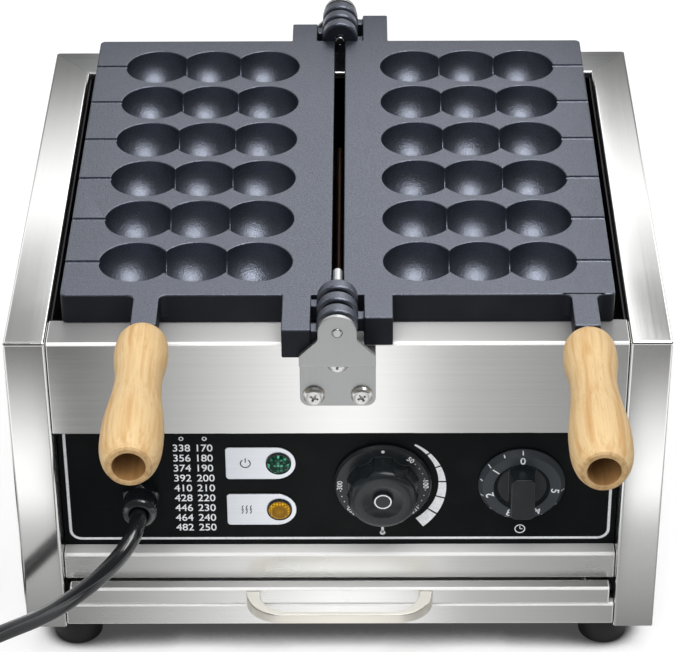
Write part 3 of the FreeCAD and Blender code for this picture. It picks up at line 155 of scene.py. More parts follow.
class Link:
    """A node's output that takes part in Python arithmetic."""

    def __init__(self, shader: "Shader", socket: bpy.types.NodeSocket) -> None:
        """Wrap one output socket of a shader's tree."""
        self.shader = shader
        self.socket = socket

    def math(self, operation: str, *values: "Link | float") -> "Link":
        """Add a Math node.

        Args:
            operation: the Math node's operation.
            values: its inputs in order.

        Returns:
            The node's result.
        """
        inputs = dict(enumerate(values))
        return self.shader.node("ShaderNodeMath", {"operation": operation}, inputs)

    def __add__(self, other: "Link | float") -> "Link":
        """Sum of two values."""
        return self.math("ADD", self, other)

    __radd__ = __add__

    def __sub__(self, other: "Link | float") -> "Link":
        """Difference of two values."""
        return self.math("SUBTRACT", self, other)

    def __rsub__(self, other: float) -> "Link":
        """Difference from a number."""
        return self.math("SUBTRACT", other, self)

    def __mul__(self, other: "Link | float") -> "Link":
        """Product of two values."""
        return self.math("MULTIPLY", self, other)

    __rmul__ = __mul__

    def __pow__(self, power: float) -> "Link":
        """A power of a value."""
        return self.math("POWER", self, power)

    def slope(self, low: float, high: float) -> "Link":
        """Run straight from 0 at low to 1 at high."""
        inputs = {"Value": self, "From Min": low, "From Max": high}
        return self.shader.node("ShaderNodeMapRange", inputs=inputs)

    def ramp(self, low: float, high: float) -> "Link":
        """Ease from 0 at low to 1 at high.

        Args:
            low: value at which it starts.
            high: value at which it ends.

        Returns:
            The eased value.
        """
        settings = {"interpolation_type": "SMOOTHSTEP"}
        inputs = {"Value": self, "From Min": low, "From Max": high}
        return self.shader.node("ShaderNodeMapRange", settings, inputs)


class Shader:
    """The node tree of one material or world."""

    def __init__(self, tree: bpy.types.NodeTree) -> None:
        """Empty the tree."""
        self.tree = tree
        tree.nodes.clear()

    def node(self, kind: str, settings: dict[str, Any] | None = None,
             inputs: dict[str | int, Any] | None = None, output: str | int = 0) -> Link | None:
        """Add a node.

        Args:
            kind: the node's type.
            settings: attributes that are set first.
            inputs: values or links of its sockets, by name or number.
            output: the output that is handed back.

        Returns:
            The chosen output, or nothing where the node has none.
        """
        made = self.tree.nodes.new(kind)
        for name, value in (settings or {}).items():
            setattr(made, name, value)
        for name, value in (inputs or {}).items():
            if isinstance(value, Link):
                self.tree.links.new(value.socket, made.inputs[name])
            else:
                made.inputs[name].default_value = value
        return Link(self, made.outputs[output]) if made.outputs else None

    def mix(self, factor: Link, first: Link | Colour, second: Link | Colour) -> Link:
        """Blend two colours, from first at 0 to second at 1."""
        settings = {"data_type": "RGBA"}
        return self.node("ShaderNodeMix", settings, {0: factor, 6: first, 7: second}, 2)

    def place(self, scale: Sequence[float] = (1, 1, 1)) -> Link:
        """Object coordinates, stretched."""
        here = self.node("ShaderNodeTexCoord", output="Object")
        return self.node("ShaderNodeMapping", inputs={"Vector": here, "Scale": scale})

    def axes(self, vector: Link) -> list[Link]:
        """The x, y and z of a vector."""
        return [self.node("ShaderNodeSeparateXYZ", inputs={"Vector": vector}, output=axis) for axis in "XYZ"]

    def noise(self, vector: Link, scale: float, detail: float = 2.0, roughness: float = 0.5) -> Link:
        """Soft noise from 0 to 1 about a half."""
        inputs = {"Vector": vector, "Scale": scale, "Detail": detail, "Roughness": roughness}
        return self.node("ShaderNodeTexNoise", inputs=inputs)

    def bump(self, height: Link, depth: float, strength: float = 1.0) -> Link:
        """Normal of a height that stands so many metres proud."""
        inputs = {"Height": height, "Distance": depth, "Strength": strength}
        return self.node("ShaderNodeBump", inputs=inputs)

    def principled(self, **inputs: Any) -> Link:
        """Principled surface; underscores in the names stand for spaces."""
        named = {name.replace("_", " "): value for name, value in inputs.items()}
        return self.node("ShaderNodeBsdfPrincipled", inputs=named)


@dataclass(frozen=True)
class Finish:
    """A surface finish and the material slot of the record that it stands for."""

    name: str
    slot: str

    def material(self) -> bpy.types.Material:
        """Make the material once, and hand it back after that.

        Returns:
            The material.
        """
        name = self.name + "_finish"
        made = bpy.data.materials.get(name)
        if made is None:
            made = bpy.data.materials.new(name)
            made.use_nodes = True
            shader = Shader(made.node_tree)
            shader.node("ShaderNodeOutputMaterial", inputs={"Surface": self.surface(shader)})
        return made

    def surface(self, shader: Shader) -> Link:
        """Lay the finish's nodes; every finish has its own."""
        raise NotImplementedError


@dataclass(frozen=True)
class DrawnMetal(Finish):
    """Metal with a drawn or rolled grain and faint handling smears."""

    tint: Colour
    roughness: float
    grain: Grain = Grain.ALONG_X
    contrast: float = 0.06
    smear: float = 0.04

    def surface(self, shader: Shader) -> Link:
        """Grain lines in colour and gloss, smears in gloss.

        Args:
            shader: the node tree.

        Returns:
            The surface.
        """
        lines = shader.noise(shader.place(self.grain.value), 1.0, 3.0, 0.6)
        cloud = shader.noise(shader.place(), 14.0, 3.0)
        colour = shader.mix(lines.ramp(0.3, 0.7), toned(self.tint, 1 - self.contrast), self.tint)
        rough = self.roughness + (lines - 0.5) * self.smear + (cloud.ramp(0.35, 0.7) - 0.5) * self.smear
        return shader.principled(Base_Color=colour, Metallic=1.0, Roughness=rough,
                                 Normal=shader.bump(lines, 0.00001, 0.25))


@dataclass(frozen=True)
class SatinLedge(Finish):
    """Satin ledges of the folded fronts, their colour painted brightest in the middle and darker towards both
    ends: a painted sheen.
    """

    middle: Colour
    ends: Colour
    reach: float
    metallic: float = 0.3

    def surface(self, shader: Shader) -> Link:
        """Painted sheen: a tone that falls off to both ends, over fine grain.

        Args:
            shader: the node tree.

        Returns:
            The surface.
        """
        across = shader.axes(shader.place())[0]
        away = across.math("ABSOLUTE", across)
        lines = shader.noise(shader.place(Grain.ALONG_X.value), 1.0, 3.0, 0.6)
        # painted sheen: lighter in the middle, darker towards both ends along x
        colour = shader.mix(away.ramp(0.0, self.reach), self.middle, self.ends)
        return shader.principled(Base_Color=colour, Metallic=self.metallic,
                                 Roughness=0.42 + (lines - 0.5) * 0.1)


@dataclass(frozen=True)
class Galvanised(Finish):
    """Zinc-coated sheet with a frozen spangle."""

    tint: Colour

    def surface(self, shader: Shader) -> Link:
        """Crystal patches that differ in tone and gloss.

        Args:
            shader: the node tree.

        Returns:
            The surface.
        """
        cells = shader.node("ShaderNodeTexVoronoi", inputs={"Vector": shader.place(), "Scale": 90.0},
                            output="Color")
        tone = shader.node("ShaderNodeSeparateColor", inputs={"Color": cells})
        colour = shader.mix(tone, toned(self.tint, 0.8), self.tint)
        return shader.principled(Base_Color=colour, Metallic=1.0, Roughness=0.34 + tone * 0.14)


@dataclass(frozen=True)
class CastNonStick(Finish):
    """Dark non-stick coat on a casting: fine speckle, satin gloss and an orange-peel skin."""

    tint: Colour
    fleck: Colour
    roughness: float

    def surface(self, shader: Shader) -> Link:
        """Speckled colour over a slightly uneven skin.

        Args:
            shader: the node tree.

        Returns:
            The surface.
        """
        spread = shader.place()
        grit = shader.noise(spread, 1300.0, 2.0, 0.65)
        peel = shader.noise(spread, 420.0, 2.0)
        cloud = shader.noise(spread, 16.0, 3.0)
        colour = shader.mix(grit.ramp(0.56, 0.8), self.tint, self.fleck)
        rough = self.roughness + (cloud - 0.5) * 0.1 + (grit - 0.5) * 0.16
        height = peel * 0.25 + grit * 0.75
        return shader.principled(Base_Color=colour, Metallic=grit.ramp(0.42, 0.72) * 0.4, Roughness=rough,
                                 IOR=1.8, Specular_IOR_Level=1.0, Specular_Tint=(0.77, 0.83, 1.0, 1.0),
                                 Normal=shader.bump(height, 0.0003, 1.0))


@dataclass(frozen=True)
class Beech(Finish):
    """Turned bare beech, its grain along the grip."""

    pale: Colour
    warm: Colour
    fleck: Colour

    def surface(self, shader: Shader) -> Link:
        """Broad rings, fine fibres and short dark flecks.

        Args:
            shader: the node tree.

        Returns:
            The surface.
        """
        rings = shader.noise(shader.place((300.0, 8.0, 300.0)), 1.0, 2.0, 0.5)
        fibres = shader.noise(shader.place((900.0, 16.0, 900.0)), 1.0, 3.0, 0.6)
        dashes = shader.noise(shader.place((1500.0, 190.0, 1500.0)), 1.0, 1.0, 0.4)
        wood = shader.mix(rings.ramp(0.4, 0.74), self.pale, self.warm)
        wood = shader.mix(fibres.ramp(0.45, 0.75) * 0.5, wood, self.warm)
        wood = shader.mix(dashes.ramp(0.64, 0.76) * 0.25, wood, self.fleck)
        rough = 0.58 + (fibres - 0.5) * 0.18
        return shader.principled(Base_Color=wood, Roughness=rough, Specular_IOR_Level=0.22,
                                 Normal=shader.bump(fibres, 0.00005, 0.3))


@dataclass(frozen=True)
class Moulding(Finish):
    """Moulded plastic, rubber or fired ceramic with a fine even skin."""

    tint: Colour
    roughness: float
    skin: float = 900.0
    depth: float = 0.00003
    coat: float = 0.0
    shine: float = 0.5

    def surface(self, shader: Shader) -> Link:
        """Even colour with a fine skin and slight wear in its gloss.

        Args:
            shader: the node tree.

        Returns:
            The surface.
        """
        fine = shader.noise(shader.place(), self.skin, 2.0, 0.6)
        cloud = shader.noise(shader.place(), 40.0, 3.0)
        colour = shader.mix(cloud.ramp(0.4, 0.75), self.tint, toned(self.tint, 1.25, 0.002))
        rough = self.roughness + (cloud - 0.5) * 0.12
        return shader.principled(Base_Color=colour, Roughness=rough, Coat_Weight=self.coat,
                                 Coat_Roughness=0.12, Specular_IOR_Level=self.shine,
                                 Normal=shader.bump(fine, self.depth, 0.3))


@dataclass(frozen=True)
class LampLens(Finish):
    """Coloured lamp lens with small moulded pyramids behind a glossy face; the brightness of its facets is
    painted.
    """

    deep: Colour
    bright: Colour
    pitch: float
    scatter: float

    def surface(self, shader: Shader) -> Link:
        """A lattice of facets painted brighter in some places than in others, as if they caught more light:
        painted highlights.

        Args:
            shader: the node tree.

        Returns:
            The surface.
        """
        lattice = {"Vector": shader.place(), "Scale": 1.0 / self.pitch, "Randomness": 0.3 * self.scatter}
        cells = shader.node("ShaderNodeTexVoronoi", {"distance": "CHEBYCHEV"}, lattice)
        tone = shader.node("ShaderNodeTexVoronoi", inputs=lattice, output="Color")
        part = shader.node("ShaderNodeSeparateColor", inputs={"Color": tone})
        # painted highlights: each facet brighter in its middle and darker at its edges; the emission below
        # glows faintly in the same pattern
        glow = (1 - cells.ramp(0.05, 0.55)) * (1 - self.scatter + part.ramp(0.25, 0.95) * self.scatter)
        colour = shader.mix(glow, self.deep, self.bright)
        return shader.principled(Base_Color=colour, Roughness=0.16, Specular_IOR_Level=0.2,
                                 Emission_Color=colour, Emission_Strength=0.2,
                                 Normal=shader.bump(cells, 0.0003, 0.35))


@dataclass(frozen=True)
class Ink(Finish):
    """Screen-printed ink with a slightly broken cover."""

    tint: Colour

    def surface(self, shader: Shader) -> Link:
        """Ink a little thinner in places.

        Args:
            shader: the node tree.

        Returns:
            The surface.
        """
        cover = shader.noise(shader.place(), 700.0, 2.0)
        colour = shader.mix(cover.ramp(0.3, 0.6), toned(self.tint, 0.86), self.tint)
        return shader.principled(Base_Color=colour, Roughness=0.5)


STAINLESS = DrawnMetal("stainless_polished", "stainless", srgb(238, 238, 236), 0.16, Grain.ALONG_X, 0.03)
STAINLESS_SIDE = DrawnMetal("stainless_polished_sides", "stainless",
                            srgb(238, 238, 236), 0.16, Grain.ALONG_Y, 0.03)
STAINLESS_LOW = DrawnMetal("stainless_brushed_low", "stainless",
                           srgb(238, 238, 236), 0.28, Grain.ALONG_X, 0.03)
STAINLESS_OUTER = DrawnMetal("stainless_brushed_outer", "stainless",
                             srgb(204, 205, 205), 0.3, Grain.ALONG_Y, 0.12)
# Rear panel: brushed stainless whose darker tint is painted shade.
STAINLESS_REAR_SHADED = DrawnMetal("stainless_brushed_rear_painted_shade", "stainless",
                            srgb(184, 185, 185), 0.3, Grain.ALONG_X, 0.1)
# Ledge colours are a painted sheen: bright in the middle, darker towards the ends.
LEDGE_PAINTED_SHEEN = SatinLedge("stainless_ledge_painted_sheen", "stainless", srgb(232, 232, 231), srgb(128, 128, 128), 0.17)
TRAY_LEDGE_PAINTED_SHEEN = SatinLedge("stainless_tray_ledge_painted_sheen", "stainless", srgb(226, 226, 225), srgb(126, 126, 126), 0.17)
RAIL_LEDGE_PAINTED_SHEEN = SatinLedge("stainless_rail_ledge_painted_sheen", "stainless",
                        srgb(250, 250, 249), srgb(190, 190, 190), 0.17, 0.0)
# Painted highlight: a near-white matt finish for folds and rounded edges, so that they show as bright lines.
EDGE_GLINT = SatinLedge("stainless_painted_edge_glint", "stainless",
                        srgb(252, 252, 251), srgb(238, 238, 237), 0.17, 0.0)
CAST_ALLOY = DrawnMetal("cast_handle_alloy", "stainless", srgb(232, 228, 218), 0.38, Grain.ALONG_X, 0.04)
# Painted light: a lighter, matt copy of the handle alloy for its up-facing faces.
ALLOY_PAINTED_LIT_TOP = SatinLedge("cast_handle_painted_lit_top", "stainless",
                        srgb(240, 237, 228), srgb(226, 223, 214), 0.17, 0.0)
BRACKET_STEEL = DrawnMetal("satin_bracket_steel", "bare_steel",
                           srgb(184, 186, 186), 0.42, Grain.ALONG_Z, 0.03)
PIN_STEEL = DrawnMetal("ground_pin_steel", "bare_steel", srgb(192, 194, 194), 0.24, Grain.ALONG_Y)
ZINC = DrawnMetal("plated_fasteners", "zinc", srgb(230, 230, 228), 0.32, Grain.ALONG_X, 0.1)
GALVANISED = Galvanised("galvanised_sheet", "galvanised", srgb(150, 153, 155))
SCORCHED = Galvanised("heat_darkened_sheet", "galvanised", srgb(58, 58, 60))
SHEATH = DrawnMetal("heater_sheath", "heater_sheath", srgb(92, 84, 78), 0.45, Grain.ALONG_Y, 0.25, 0.12)
COPPER = DrawnMetal("copper_capillary", "copper", srgb(92, 68, 56), 0.4, Grain.ALONG_Y)
BRASS = DrawnMetal("nickel_plated_prongs", "brass_prong", srgb(204, 190, 150), 0.25, Grain.ALONG_Y)
# Upright plate walls: a duller as-cast copy of the coat that also stands in for shade, keeping them dark.
WALL_COAT_SHADED = Moulding("cast_wall_coat_painted_shade", "non_stick", srgb(22, 24, 30), 0.5, 600.0, 0.00006, 0.0, 0.16)
NON_STICK = CastNonStick("cast_non_stick", "non_stick", srgb(20, 23, 29), srgb(60, 65, 76), 0.33)
BEECH = Beech("turned_beech", "beech", srgb(216, 187, 140), srgb(197, 155, 102), srgb(152, 108, 66))
END_GRAIN = Beech("beech_end_grain", "beech", srgb(196, 164, 118), srgb(168, 134, 90), srgb(120, 88, 56))
# Painted shade: a darker beech for the inside of the grip's bore.
BORE_WOOD_SHADED = Beech("beech_bore_painted_shade", "beech", srgb(170, 130, 82), srgb(140, 104, 64), srgb(90, 64, 40))
PANEL_BLACK = Moulding("gloss_panel_black", "panel_black", srgb(16, 18, 19), 0.3, 500.0, 0.00001, 0.0, 0.07)
KNOB_BLACK = Moulding("knob_black", "knob_black", srgb(28, 32, 35), 0.26, 1400.0, 0.00003, 0.0, 0.44)
# Painted light: a lighter copy of the knob black for the timer's skirt.
DIAL_BLACK_PAINTED_LIT = Moulding("dial_black_painted_lit", "knob_black", srgb(46, 51, 56), 0.38, 1400.0, 0.00003, 0.0, 0.5)
RUBBER = Moulding("rubber_black", "rubber_black", srgb(22, 22, 23), 0.55, 700.0, 0.00008, 0.0, 0.3)
CORD_BLACK = Moulding("cord_jacket", "cord_black", srgb(19, 21, 25), 0.22, 320.0, 0.00002, 0.7, 0.6)
CERAMIC = Moulding("fired_ceramic", "ceramic", srgb(226, 221, 208), 0.5)
GREY_MOULDING = Moulding("moulded_grey", "moulded_grey", srgb(108, 110, 112), 0.45)
LABEL = DrawnMetal("label_silver", "label_silver", srgb(240, 244, 250), 0.3, Grain.ALONG_X, 0.03)
GREEN_LENS = LampLens("lens_green", "lens_green", srgb(0, 44, 30), srgb(110, 206, 168), 0.0017, 1.0)
AMBER_LENS = LampLens("lens_amber", "lens_amber", srgb(122, 84, 0), srgb(246, 192, 50), 0.0015, 0.1)
WHITE_INK = Ink("white_ink", "label_silver", srgb(246, 248, 252))
BLACK_INK = Ink("black_ink", "panel_black", srgb(40, 42, 48))


def round_corner(bm: bmesh.types.BMesh, corner: bmesh.types.BMVert, radius: float) -> None:
    """Round one corner of a line or flat outline to a radius.

    Args:
        bm: the mesh.
        corner: the corner, which has two edges.
        radius: radius of the arc; 0 leaves the corner sharp.
    """
    if radius <= 0:
        return
    back, ahead = (edge.other_vert(corner).co - corner.co for edge in corner.link_edges)
    reach = radius / math.tan(back.angle(ahead) / 2)
    bmesh.ops.bevel(bm, geom=[corner], offset=reach, offset_type="OFFSET", segments=ARC_STEPS, profile=0.5,
                    affect="VERTICES", clamp_overlap=False, material=-1)


def placed(name: str, data: bpy.types.ID) -> bpy.types.Object:
    """Put data into the scene as an object at the origin.

    Args:
        name: the object's name.
        data: mesh, curve, lamp or camera.

    Returns:
        The object.
    """
    made = bpy.data.objects.new(name, data)
    bpy.context.scene.collection.objects.link(made)
    return made


def curve_of(name: str, points: Route, kind: str = "POLY", radius: float = 0.0) -> bpy.types.Curve:
    """Make a space curve with one spline.

    Args:
        name: the curve's name.
        points: control points in order.
        kind: the kind of spline, without handles.
        radius: radius of a round tube about it.

    Returns:
        The curve.
    """
    data = bpy.data.curves.new(name, "CURVE")
    data.dimensions = "3D"
    data.bevel_depth, data.bevel_resolution, data.use_fill_caps = radius, TUBE_STEPS, True
    spline = data.splines.new(kind)
    spline.points.add(len(points) - 1)
    for knot, point in zip(spline.points, points):
        knot.co = (*point, 1.0)
    return data


def smooth_line(points: Route, samples: int) -> list[Vector]:
    """Run a smooth curve through points.

    Args:
        points: places that the curve passes.
        samples: steps between two of them.

    Returns:
        Points along the curve, in order.
    """
    data = bpy.data.curves.new("line", "CURVE")
    data.dimensions = "3D"
    data.resolution_u = samples
    spline = data.splines.new("BEZIER")
    spline.bezier_points.add(len(points) - 1)
    for knot, point in zip(spline.bezier_points, points):
        knot.co = point
        knot.handle_left_type = knot.handle_right_type = "AUTO"
    return [vert.co.copy() for vert in mesh_of(data).vertices]


def rounded_line(points: Route, radii: Sequence[float]) -> list[Vector]:
    """Straight runs joined by arcs.

    Args:
        points: corners of the line.
        radii: radius at each corner, 0 at the ends.

    Returns:
        Points along the line, in order.
    """
    bm = bmesh.new()
    corners = [bm.verts.new(point) for point in points]
    for start, end in zip(corners, corners[1:]):
        bm.edges.new((start, end))
    for corner, radius in zip(corners, radii):
        round_corner(bm, corner, radius)
    here, walked = corners[0], [corners[0].co.copy()]
    seen = {here}
    while True:
        onward = [e.other_vert(here) for e in here.link_edges if e.other_vert(here) not in seen]
        if not onward:
            break
        here = onward[0]
        seen.add(here)
        walked.append(here.co.copy())
    bm.free()
    return walked


def mesh_of(data: bpy.types.Curve) -> bpy.types.Mesh:
    """Turn a curve or text into a mesh, and drop the curve.

    Args:
        data: the curve or text.

    Returns:
        The mesh.
    """
    carrier = bpy.data.objects.new("carrier", data)
    mesh = bpy.data.meshes.new_from_object(carrier)
    bpy.data.objects.remove(carrier)
    bpy.data.curves.remove(data)
    return mesh


def round_off(piece: bpy.types.Object, width: float, segments: int) -> None:
    """Round the sharp edges of an object by a modifier.

    Args:
        piece: the object.
        width: width of the rounding, in the object's own unit.
        segments: faces across it.
    """
    soften = piece.modifiers.new("edges", "BEVEL")
    soften.width, soften.segments, soften.limit_method = width, segments, "ANGLE"
    soften.angle_limit, soften.use_clamp_overlap = SHARP, False


class Shape:
    """A mesh in the making, in millimetres."""

    def __init__(self) -> None:
        """Start with nothing."""
        self.bm = bmesh.new()

    def outlined(self, corners: Sequence[Vector], radii: Sequence[float]) -> None:
        """Fill a closed outline and round its corners.

        Args:
            corners: corners in order.
            radii: radius at each corner.
        """
        bm = self.bm
        verts = [bm.verts.new(corner) for corner in corners]
        for start, end in zip(verts, verts[1:] + verts[:1]):
            bm.edges.new((start, end))
        bmesh.ops.edgeloop_fill(bm, edges=bm.edges[:])
        for vert, radius in zip(verts, radii):
            round_corner(bm, vert, radius)

    def thickened(self, travel: Vector) -> "Shape":
        """Push every face along travel, so that a flat shape becomes solid.

        Args:
            travel: how far and which way.

        Returns:
            The solid.
        """
        grown = bmesh.ops.extrude_face_region(self.bm, geom=self.bm.faces[:])["geom"]
        raised = [part for part in grown if isinstance(part, bmesh.types.BMVert)]
        bmesh.ops.translate(self.bm, vec=travel, verts=raised)
        return self.mended()

    def mended(self) -> "Shape":
        """Merge doubled points and turn every face outwards.

        Returns:
            This shape.
        """
        bmesh.ops.remove_doubles(self.bm, verts=self.bm.verts[:], dist=TINY)
        bmesh.ops.recalc_face_normals(self.bm, faces=self.bm.faces[:])
        return self

    @classmethod
    def prism(cls, outline: Outline, plane: Plane, low: float, high: float) -> "Shape":
        """Push a flat outline along its plane's normal.

        Args:
            outline: corners as in-plane u and v and a corner radius.
            plane: the outline's plane.
            low: start along the normal.
            high: end along the normal.

        Returns:
            The solid.
        """
        shape = cls()
        shape.outlined([plane.point(u, v, low) for u, v, _ in outline], [r for _, _, r in outline])
        return shape.thickened(plane.point(0, 0, high - low))

    @classmethod
    def block(cls, low: Sequence[float], high: Sequence[float]) -> "Shape":
        """A block between its lowest and highest corner.

        Args:
            low: its lowest corner.
            high: its highest corner.

        Returns:
            The block.
        """
        shape = cls()
        middle = (Vector(low) + Vector(high)) / 2
        size = Vector(high) - Vector(low)
        place = Matrix.Translation(middle) @ Matrix.Diagonal(size).to_4x4()
        bmesh.ops.create_cube(shape.bm, size=1.0, matrix=place)
        return shape

    @classmethod
    def turned(cls, section: Outline, start: Sequence[float], way: Sequence[float] = FRONT,
               steps: int = 64) -> "Shape":
        """Spin a half section about an axis.

        Args:
            section: corners of the closed half section as distance along, radius and corner radius.
            start: the point of the axis where the distance is 0.
            way: direction of the axis.
            steps: faces around.

        Returns:
            The turned solid.
        """
        shape = cls()
        bm = shape.bm
        origin, axis = Vector(start), Vector(way).normalized()
        out = axis.orthogonal().normalized()
        shape.outlined([origin + axis * s + out * r for s, r, _ in section], [c for _, _, c in section])
        bmesh.ops.delete(bm, geom=bm.faces[:], context="FACES_ONLY")
        inner = [e for e in bm.edges if all((v.co - origin).dot(out) < TINY for v in e.verts)]
        bmesh.ops.delete(bm, geom=inner, context="EDGES")
        bmesh.ops.spin(bm, geom=bm.verts[:] + bm.edges[:], cent=origin, axis=axis, angle=math.tau,
                       steps=steps, use_merge=True, use_duplicate=False)
        return shape.mended()

    @classmethod
    def rod(cls, radius: float, start: Sequence[float], end: Sequence[float], edge: float = 0.0,
            steps: int = 48) -> "Shape":
        """A round bar from one point to another, its ends rounded by edge.

        Args:
            radius: its radius.
            start: middle of one end.
            end: middle of the other.
            edge: rounding of both ends.
            steps: faces around.

        Returns:
            The bar.
        """
        way = Vector(end) - Vector(start)
        section = [(0, 0, 0), (0, radius, edge), (way.length, radius, edge), (way.length, 0, 0)]
        return cls.turned(section, start, way, steps)

    @classmethod
    def ring(cls, inner: float, outer: float, start: Sequence[float], end: Sequence[float],
             edge: float = 0.0) -> "Shape":
        """A collar from one point to another, its outer edges rounded by edge.

        Args:
            inner: radius of its bore.
            outer: its radius.
            start: middle of one end.
            end: middle of the other.
            edge: rounding of its outer edges.

        Returns:
            The collar.
        """
        way = Vector(end) - Vector(start)
        section = [(0, inner, 0), (0, outer, edge), (way.length, outer, edge), (way.length, inner, 0)]
        return cls.turned(section, start, way)

    @classmethod
    def hexagon(cls, flats: float, start: Sequence[float], end: Sequence[float], bore: float) -> "Shape":
        """A hexagonal bar with a point upwards, with its corners turned off and a bore.

        Args:
            flats: width across flats.
            start: middle of one end.
            end: middle of the other.
            bore: radius of the bore.

        Returns:
            The bar.
        """
        way = Vector(end) - Vector(start)
        tall, corner = way.length, flats / math.sqrt(3)
        shape = cls()
        turn = way.to_track_quat("Z", "Y").to_matrix().to_4x4()
        bmesh.ops.create_cone(shape.bm, cap_ends=True, segments=6, radius1=corner, radius2=corner, depth=tall,
                              matrix=Matrix.Translation(Vector(start) + way / 2) @ turn)
        chamfer = corner - flats / 2
        wide = corner + TINY
        barrel = [(0, 0, 0), (0, flats / 2, 0), (chamfer, wide, 0), (tall - chamfer, wide, 0),
                  (tall, flats / 2, 0), (tall, 0, 0)]
        shape.carve(cls.turned(barrel, start, way, 48), Cut.KEEP)
        return shape.carve(cls.rod(bore, Vector(start) - way, Vector(end) + way), Cut.TAKE)

    @classmethod
    def joined_balls(cls, radius: float, centres: Sequence[Vector], top: float | None = None) -> "Shape":
        """Balls in a row that run into each other, cut where they meet.

        Args:
            radius: radius of each ball.
            centres: their middles in order along X.
            top: height above which nothing is kept.

        Returns:
            One closed solid.
        """
        shape = cls()
        for index, centre in enumerate(centres):
            ball = cls()
            bmesh.ops.create_uvsphere(ball.bm, u_segments=72, v_segments=36, radius=radius,
                                      matrix=Matrix.Translation(centre))
            for neighbour in centres[max(index - 1, 0):index] + centres[index + 1:index + 2]:
                ball.trimmed((centre + neighbour) / 2, neighbour - centre)
            shape.join(ball)
        if top is not None:
            shape.trimmed(Vector((0, 0, top)), Vector(UP)).mended()
            rim = [edge for edge in shape.bm.edges if edge.is_boundary]
            bmesh.ops.edgeloop_fill(shape.bm, edges=rim)
        return shape.mended()

    @classmethod
    def tube(cls, line: Sequence[Vector], radius: float) -> "Shape":
        """A round tube along a line of points.

        Args:
            line: points along its middle.
            radius: its radius.

        Returns:
            The tube.
        """
        shape = cls()
        shape.bm.from_mesh(mesh_of(curve_of("tube", line, radius=radius)))
        return shape.mended()

    @classmethod
    def lettering(cls, text: str, height: float, weight: float = 0.028, thickness: float = 0.04) -> "Shape":
        """Bold figures about the origin that face the front.

        Args:
            text: what to set.
            height: height of the figures.
            weight: how far the four strikes of the figures lie apart, as a share of the height.
            thickness: thickness of the ink of one strike.

        Returns:
            The figures as one shape.
        """
        data = bpy.data.curves.new("text", "FONT")
        data.body, data.size, data.resolution_u = text, 1.0, 6
        shape = cls()
        shape.bm.from_mesh(mesh_of(data))
        low = Vector(min(v.co[i] for v in shape.bm.verts) for i in range(3))
        high = Vector(max(v.co[i] for v in shape.bm.verts) for i in range(3))
        middle = Matrix.Translation(-(low + high) / 2)
        upright = Matrix.Rotation(math.pi / 2, 4, "X") @ Matrix.Scale(height / (high.y - low.y), 4)
        bmesh.ops.transform(shape.bm, matrix=upright @ middle, verts=shape.bm.verts[:])
        shape.thickened(Vector((0, -thickness, 0)))
        bold, apart = cls(), weight * height / 2
        for strike, (x, z) in enumerate(((-1, -1), (1, -1), (-1, 1), (1, 1))):
            bold.join(shape.twin().put(x * apart, -0.01 * strike, z * apart))
        return bold

    @classmethod
    def sector(cls, inner: float, outer: float, start: float = 0, end: float = 360,
               end_outer: float | None = None) -> "Shape":
        """A printed ring, or a piece of one, about the origin that faces the front.

        Args:
            inner: inner radius.
            outer: outer radius where it starts.
            start: degrees clockwise from the top.
            end: degrees clockwise from the top.
            end_outer: outer radius where it ends, when it widens.

        Returns:
            The sector.
        """
        shape = cls()
        bm = shape.bm
        first, sweep = math.radians(start), math.radians(end - start)
        ray = Vector((math.sin(first), 0, math.cos(first)))
        bm.edges.new([bm.verts.new(ray * inner), bm.verts.new(ray * outer)])
        bmesh.ops.spin(bm, geom=bm.verts[:] + bm.edges[:], cent=(0, 0, 0), axis=(0, 1, 0), angle=sweep,
                       steps=max(3, int(abs(end - start) / 3)), use_merge=False, use_duplicate=False)
        if end_outer is not None:
            for vert in bm.verts:
                if vert.co.length > (inner + outer) / 2:
                    gone = (math.atan2(vert.co.x, vert.co.z) - first) / sweep
                    vert.co *= (outer + (end_outer - outer) * gone) / outer
        return shape.thickened(Vector((0, -INK, 0)))

    @classmethod
    def copy_of(cls, node: str) -> "Shape":
        """A merged copy of a CAD node, its flat faces made whole.

        Args:
            node: the CAD node.

        Returns:
            The copy.
        """
        shape = cls()
        shape.bm.from_mesh(frame["nodes"][node].data)
        bmesh.ops.scale(shape.bm, vec=(1 / MM,) * 3, verts=shape.bm.verts[:])
        bmesh.ops.remove_doubles(shape.bm, verts=shape.bm.verts[:], dist=MERGE)
        bmesh.ops.dissolve_limit(shape.bm, angle_limit=FLAT, verts=shape.bm.verts[:], edges=shape.bm.edges[:])
        return shape

    def trimmed(self, place: Vector, way: Vector) -> "Shape":
        """Cut off all that lies past a plane, and leave the cut open.

        Args:
            place: a point of the plane.
            way: its normal, towards what goes.

        Returns:
            This shape.
        """
        geometry = self.bm.verts[:] + self.bm.edges[:] + self.bm.faces[:]
        bmesh.ops.bisect_plane(self.bm, geom=geometry, dist=TINY, plane_co=place, plane_no=way,
                               clear_outer=True)
        return self

    def join(self, *others: "Shape") -> "Shape":
        """Take other shapes in as they are.

        Args:
            others: the other shapes.

        Returns:
            This shape.
        """
        for other in others:
            loose = bpy.data.meshes.new("loose")
            other.bm.to_mesh(loose)
            self.bm.from_mesh(loose)
            bpy.data.meshes.remove(loose)
        return self

    def twin(self) -> "Shape":
        """A copy of this shape."""
        return Shape().join(self)

    def moved(self, matrix: Matrix) -> "Shape":
        """Move or turn the shape."""
        bmesh.ops.transform(self.bm, matrix=matrix, verts=self.bm.verts[:])
        return self

    def put(self, x: float, y: float, z: float) -> "Shape":
        """Move the shape by so much."""
        return self.moved(Matrix.Translation((x, y, z)))

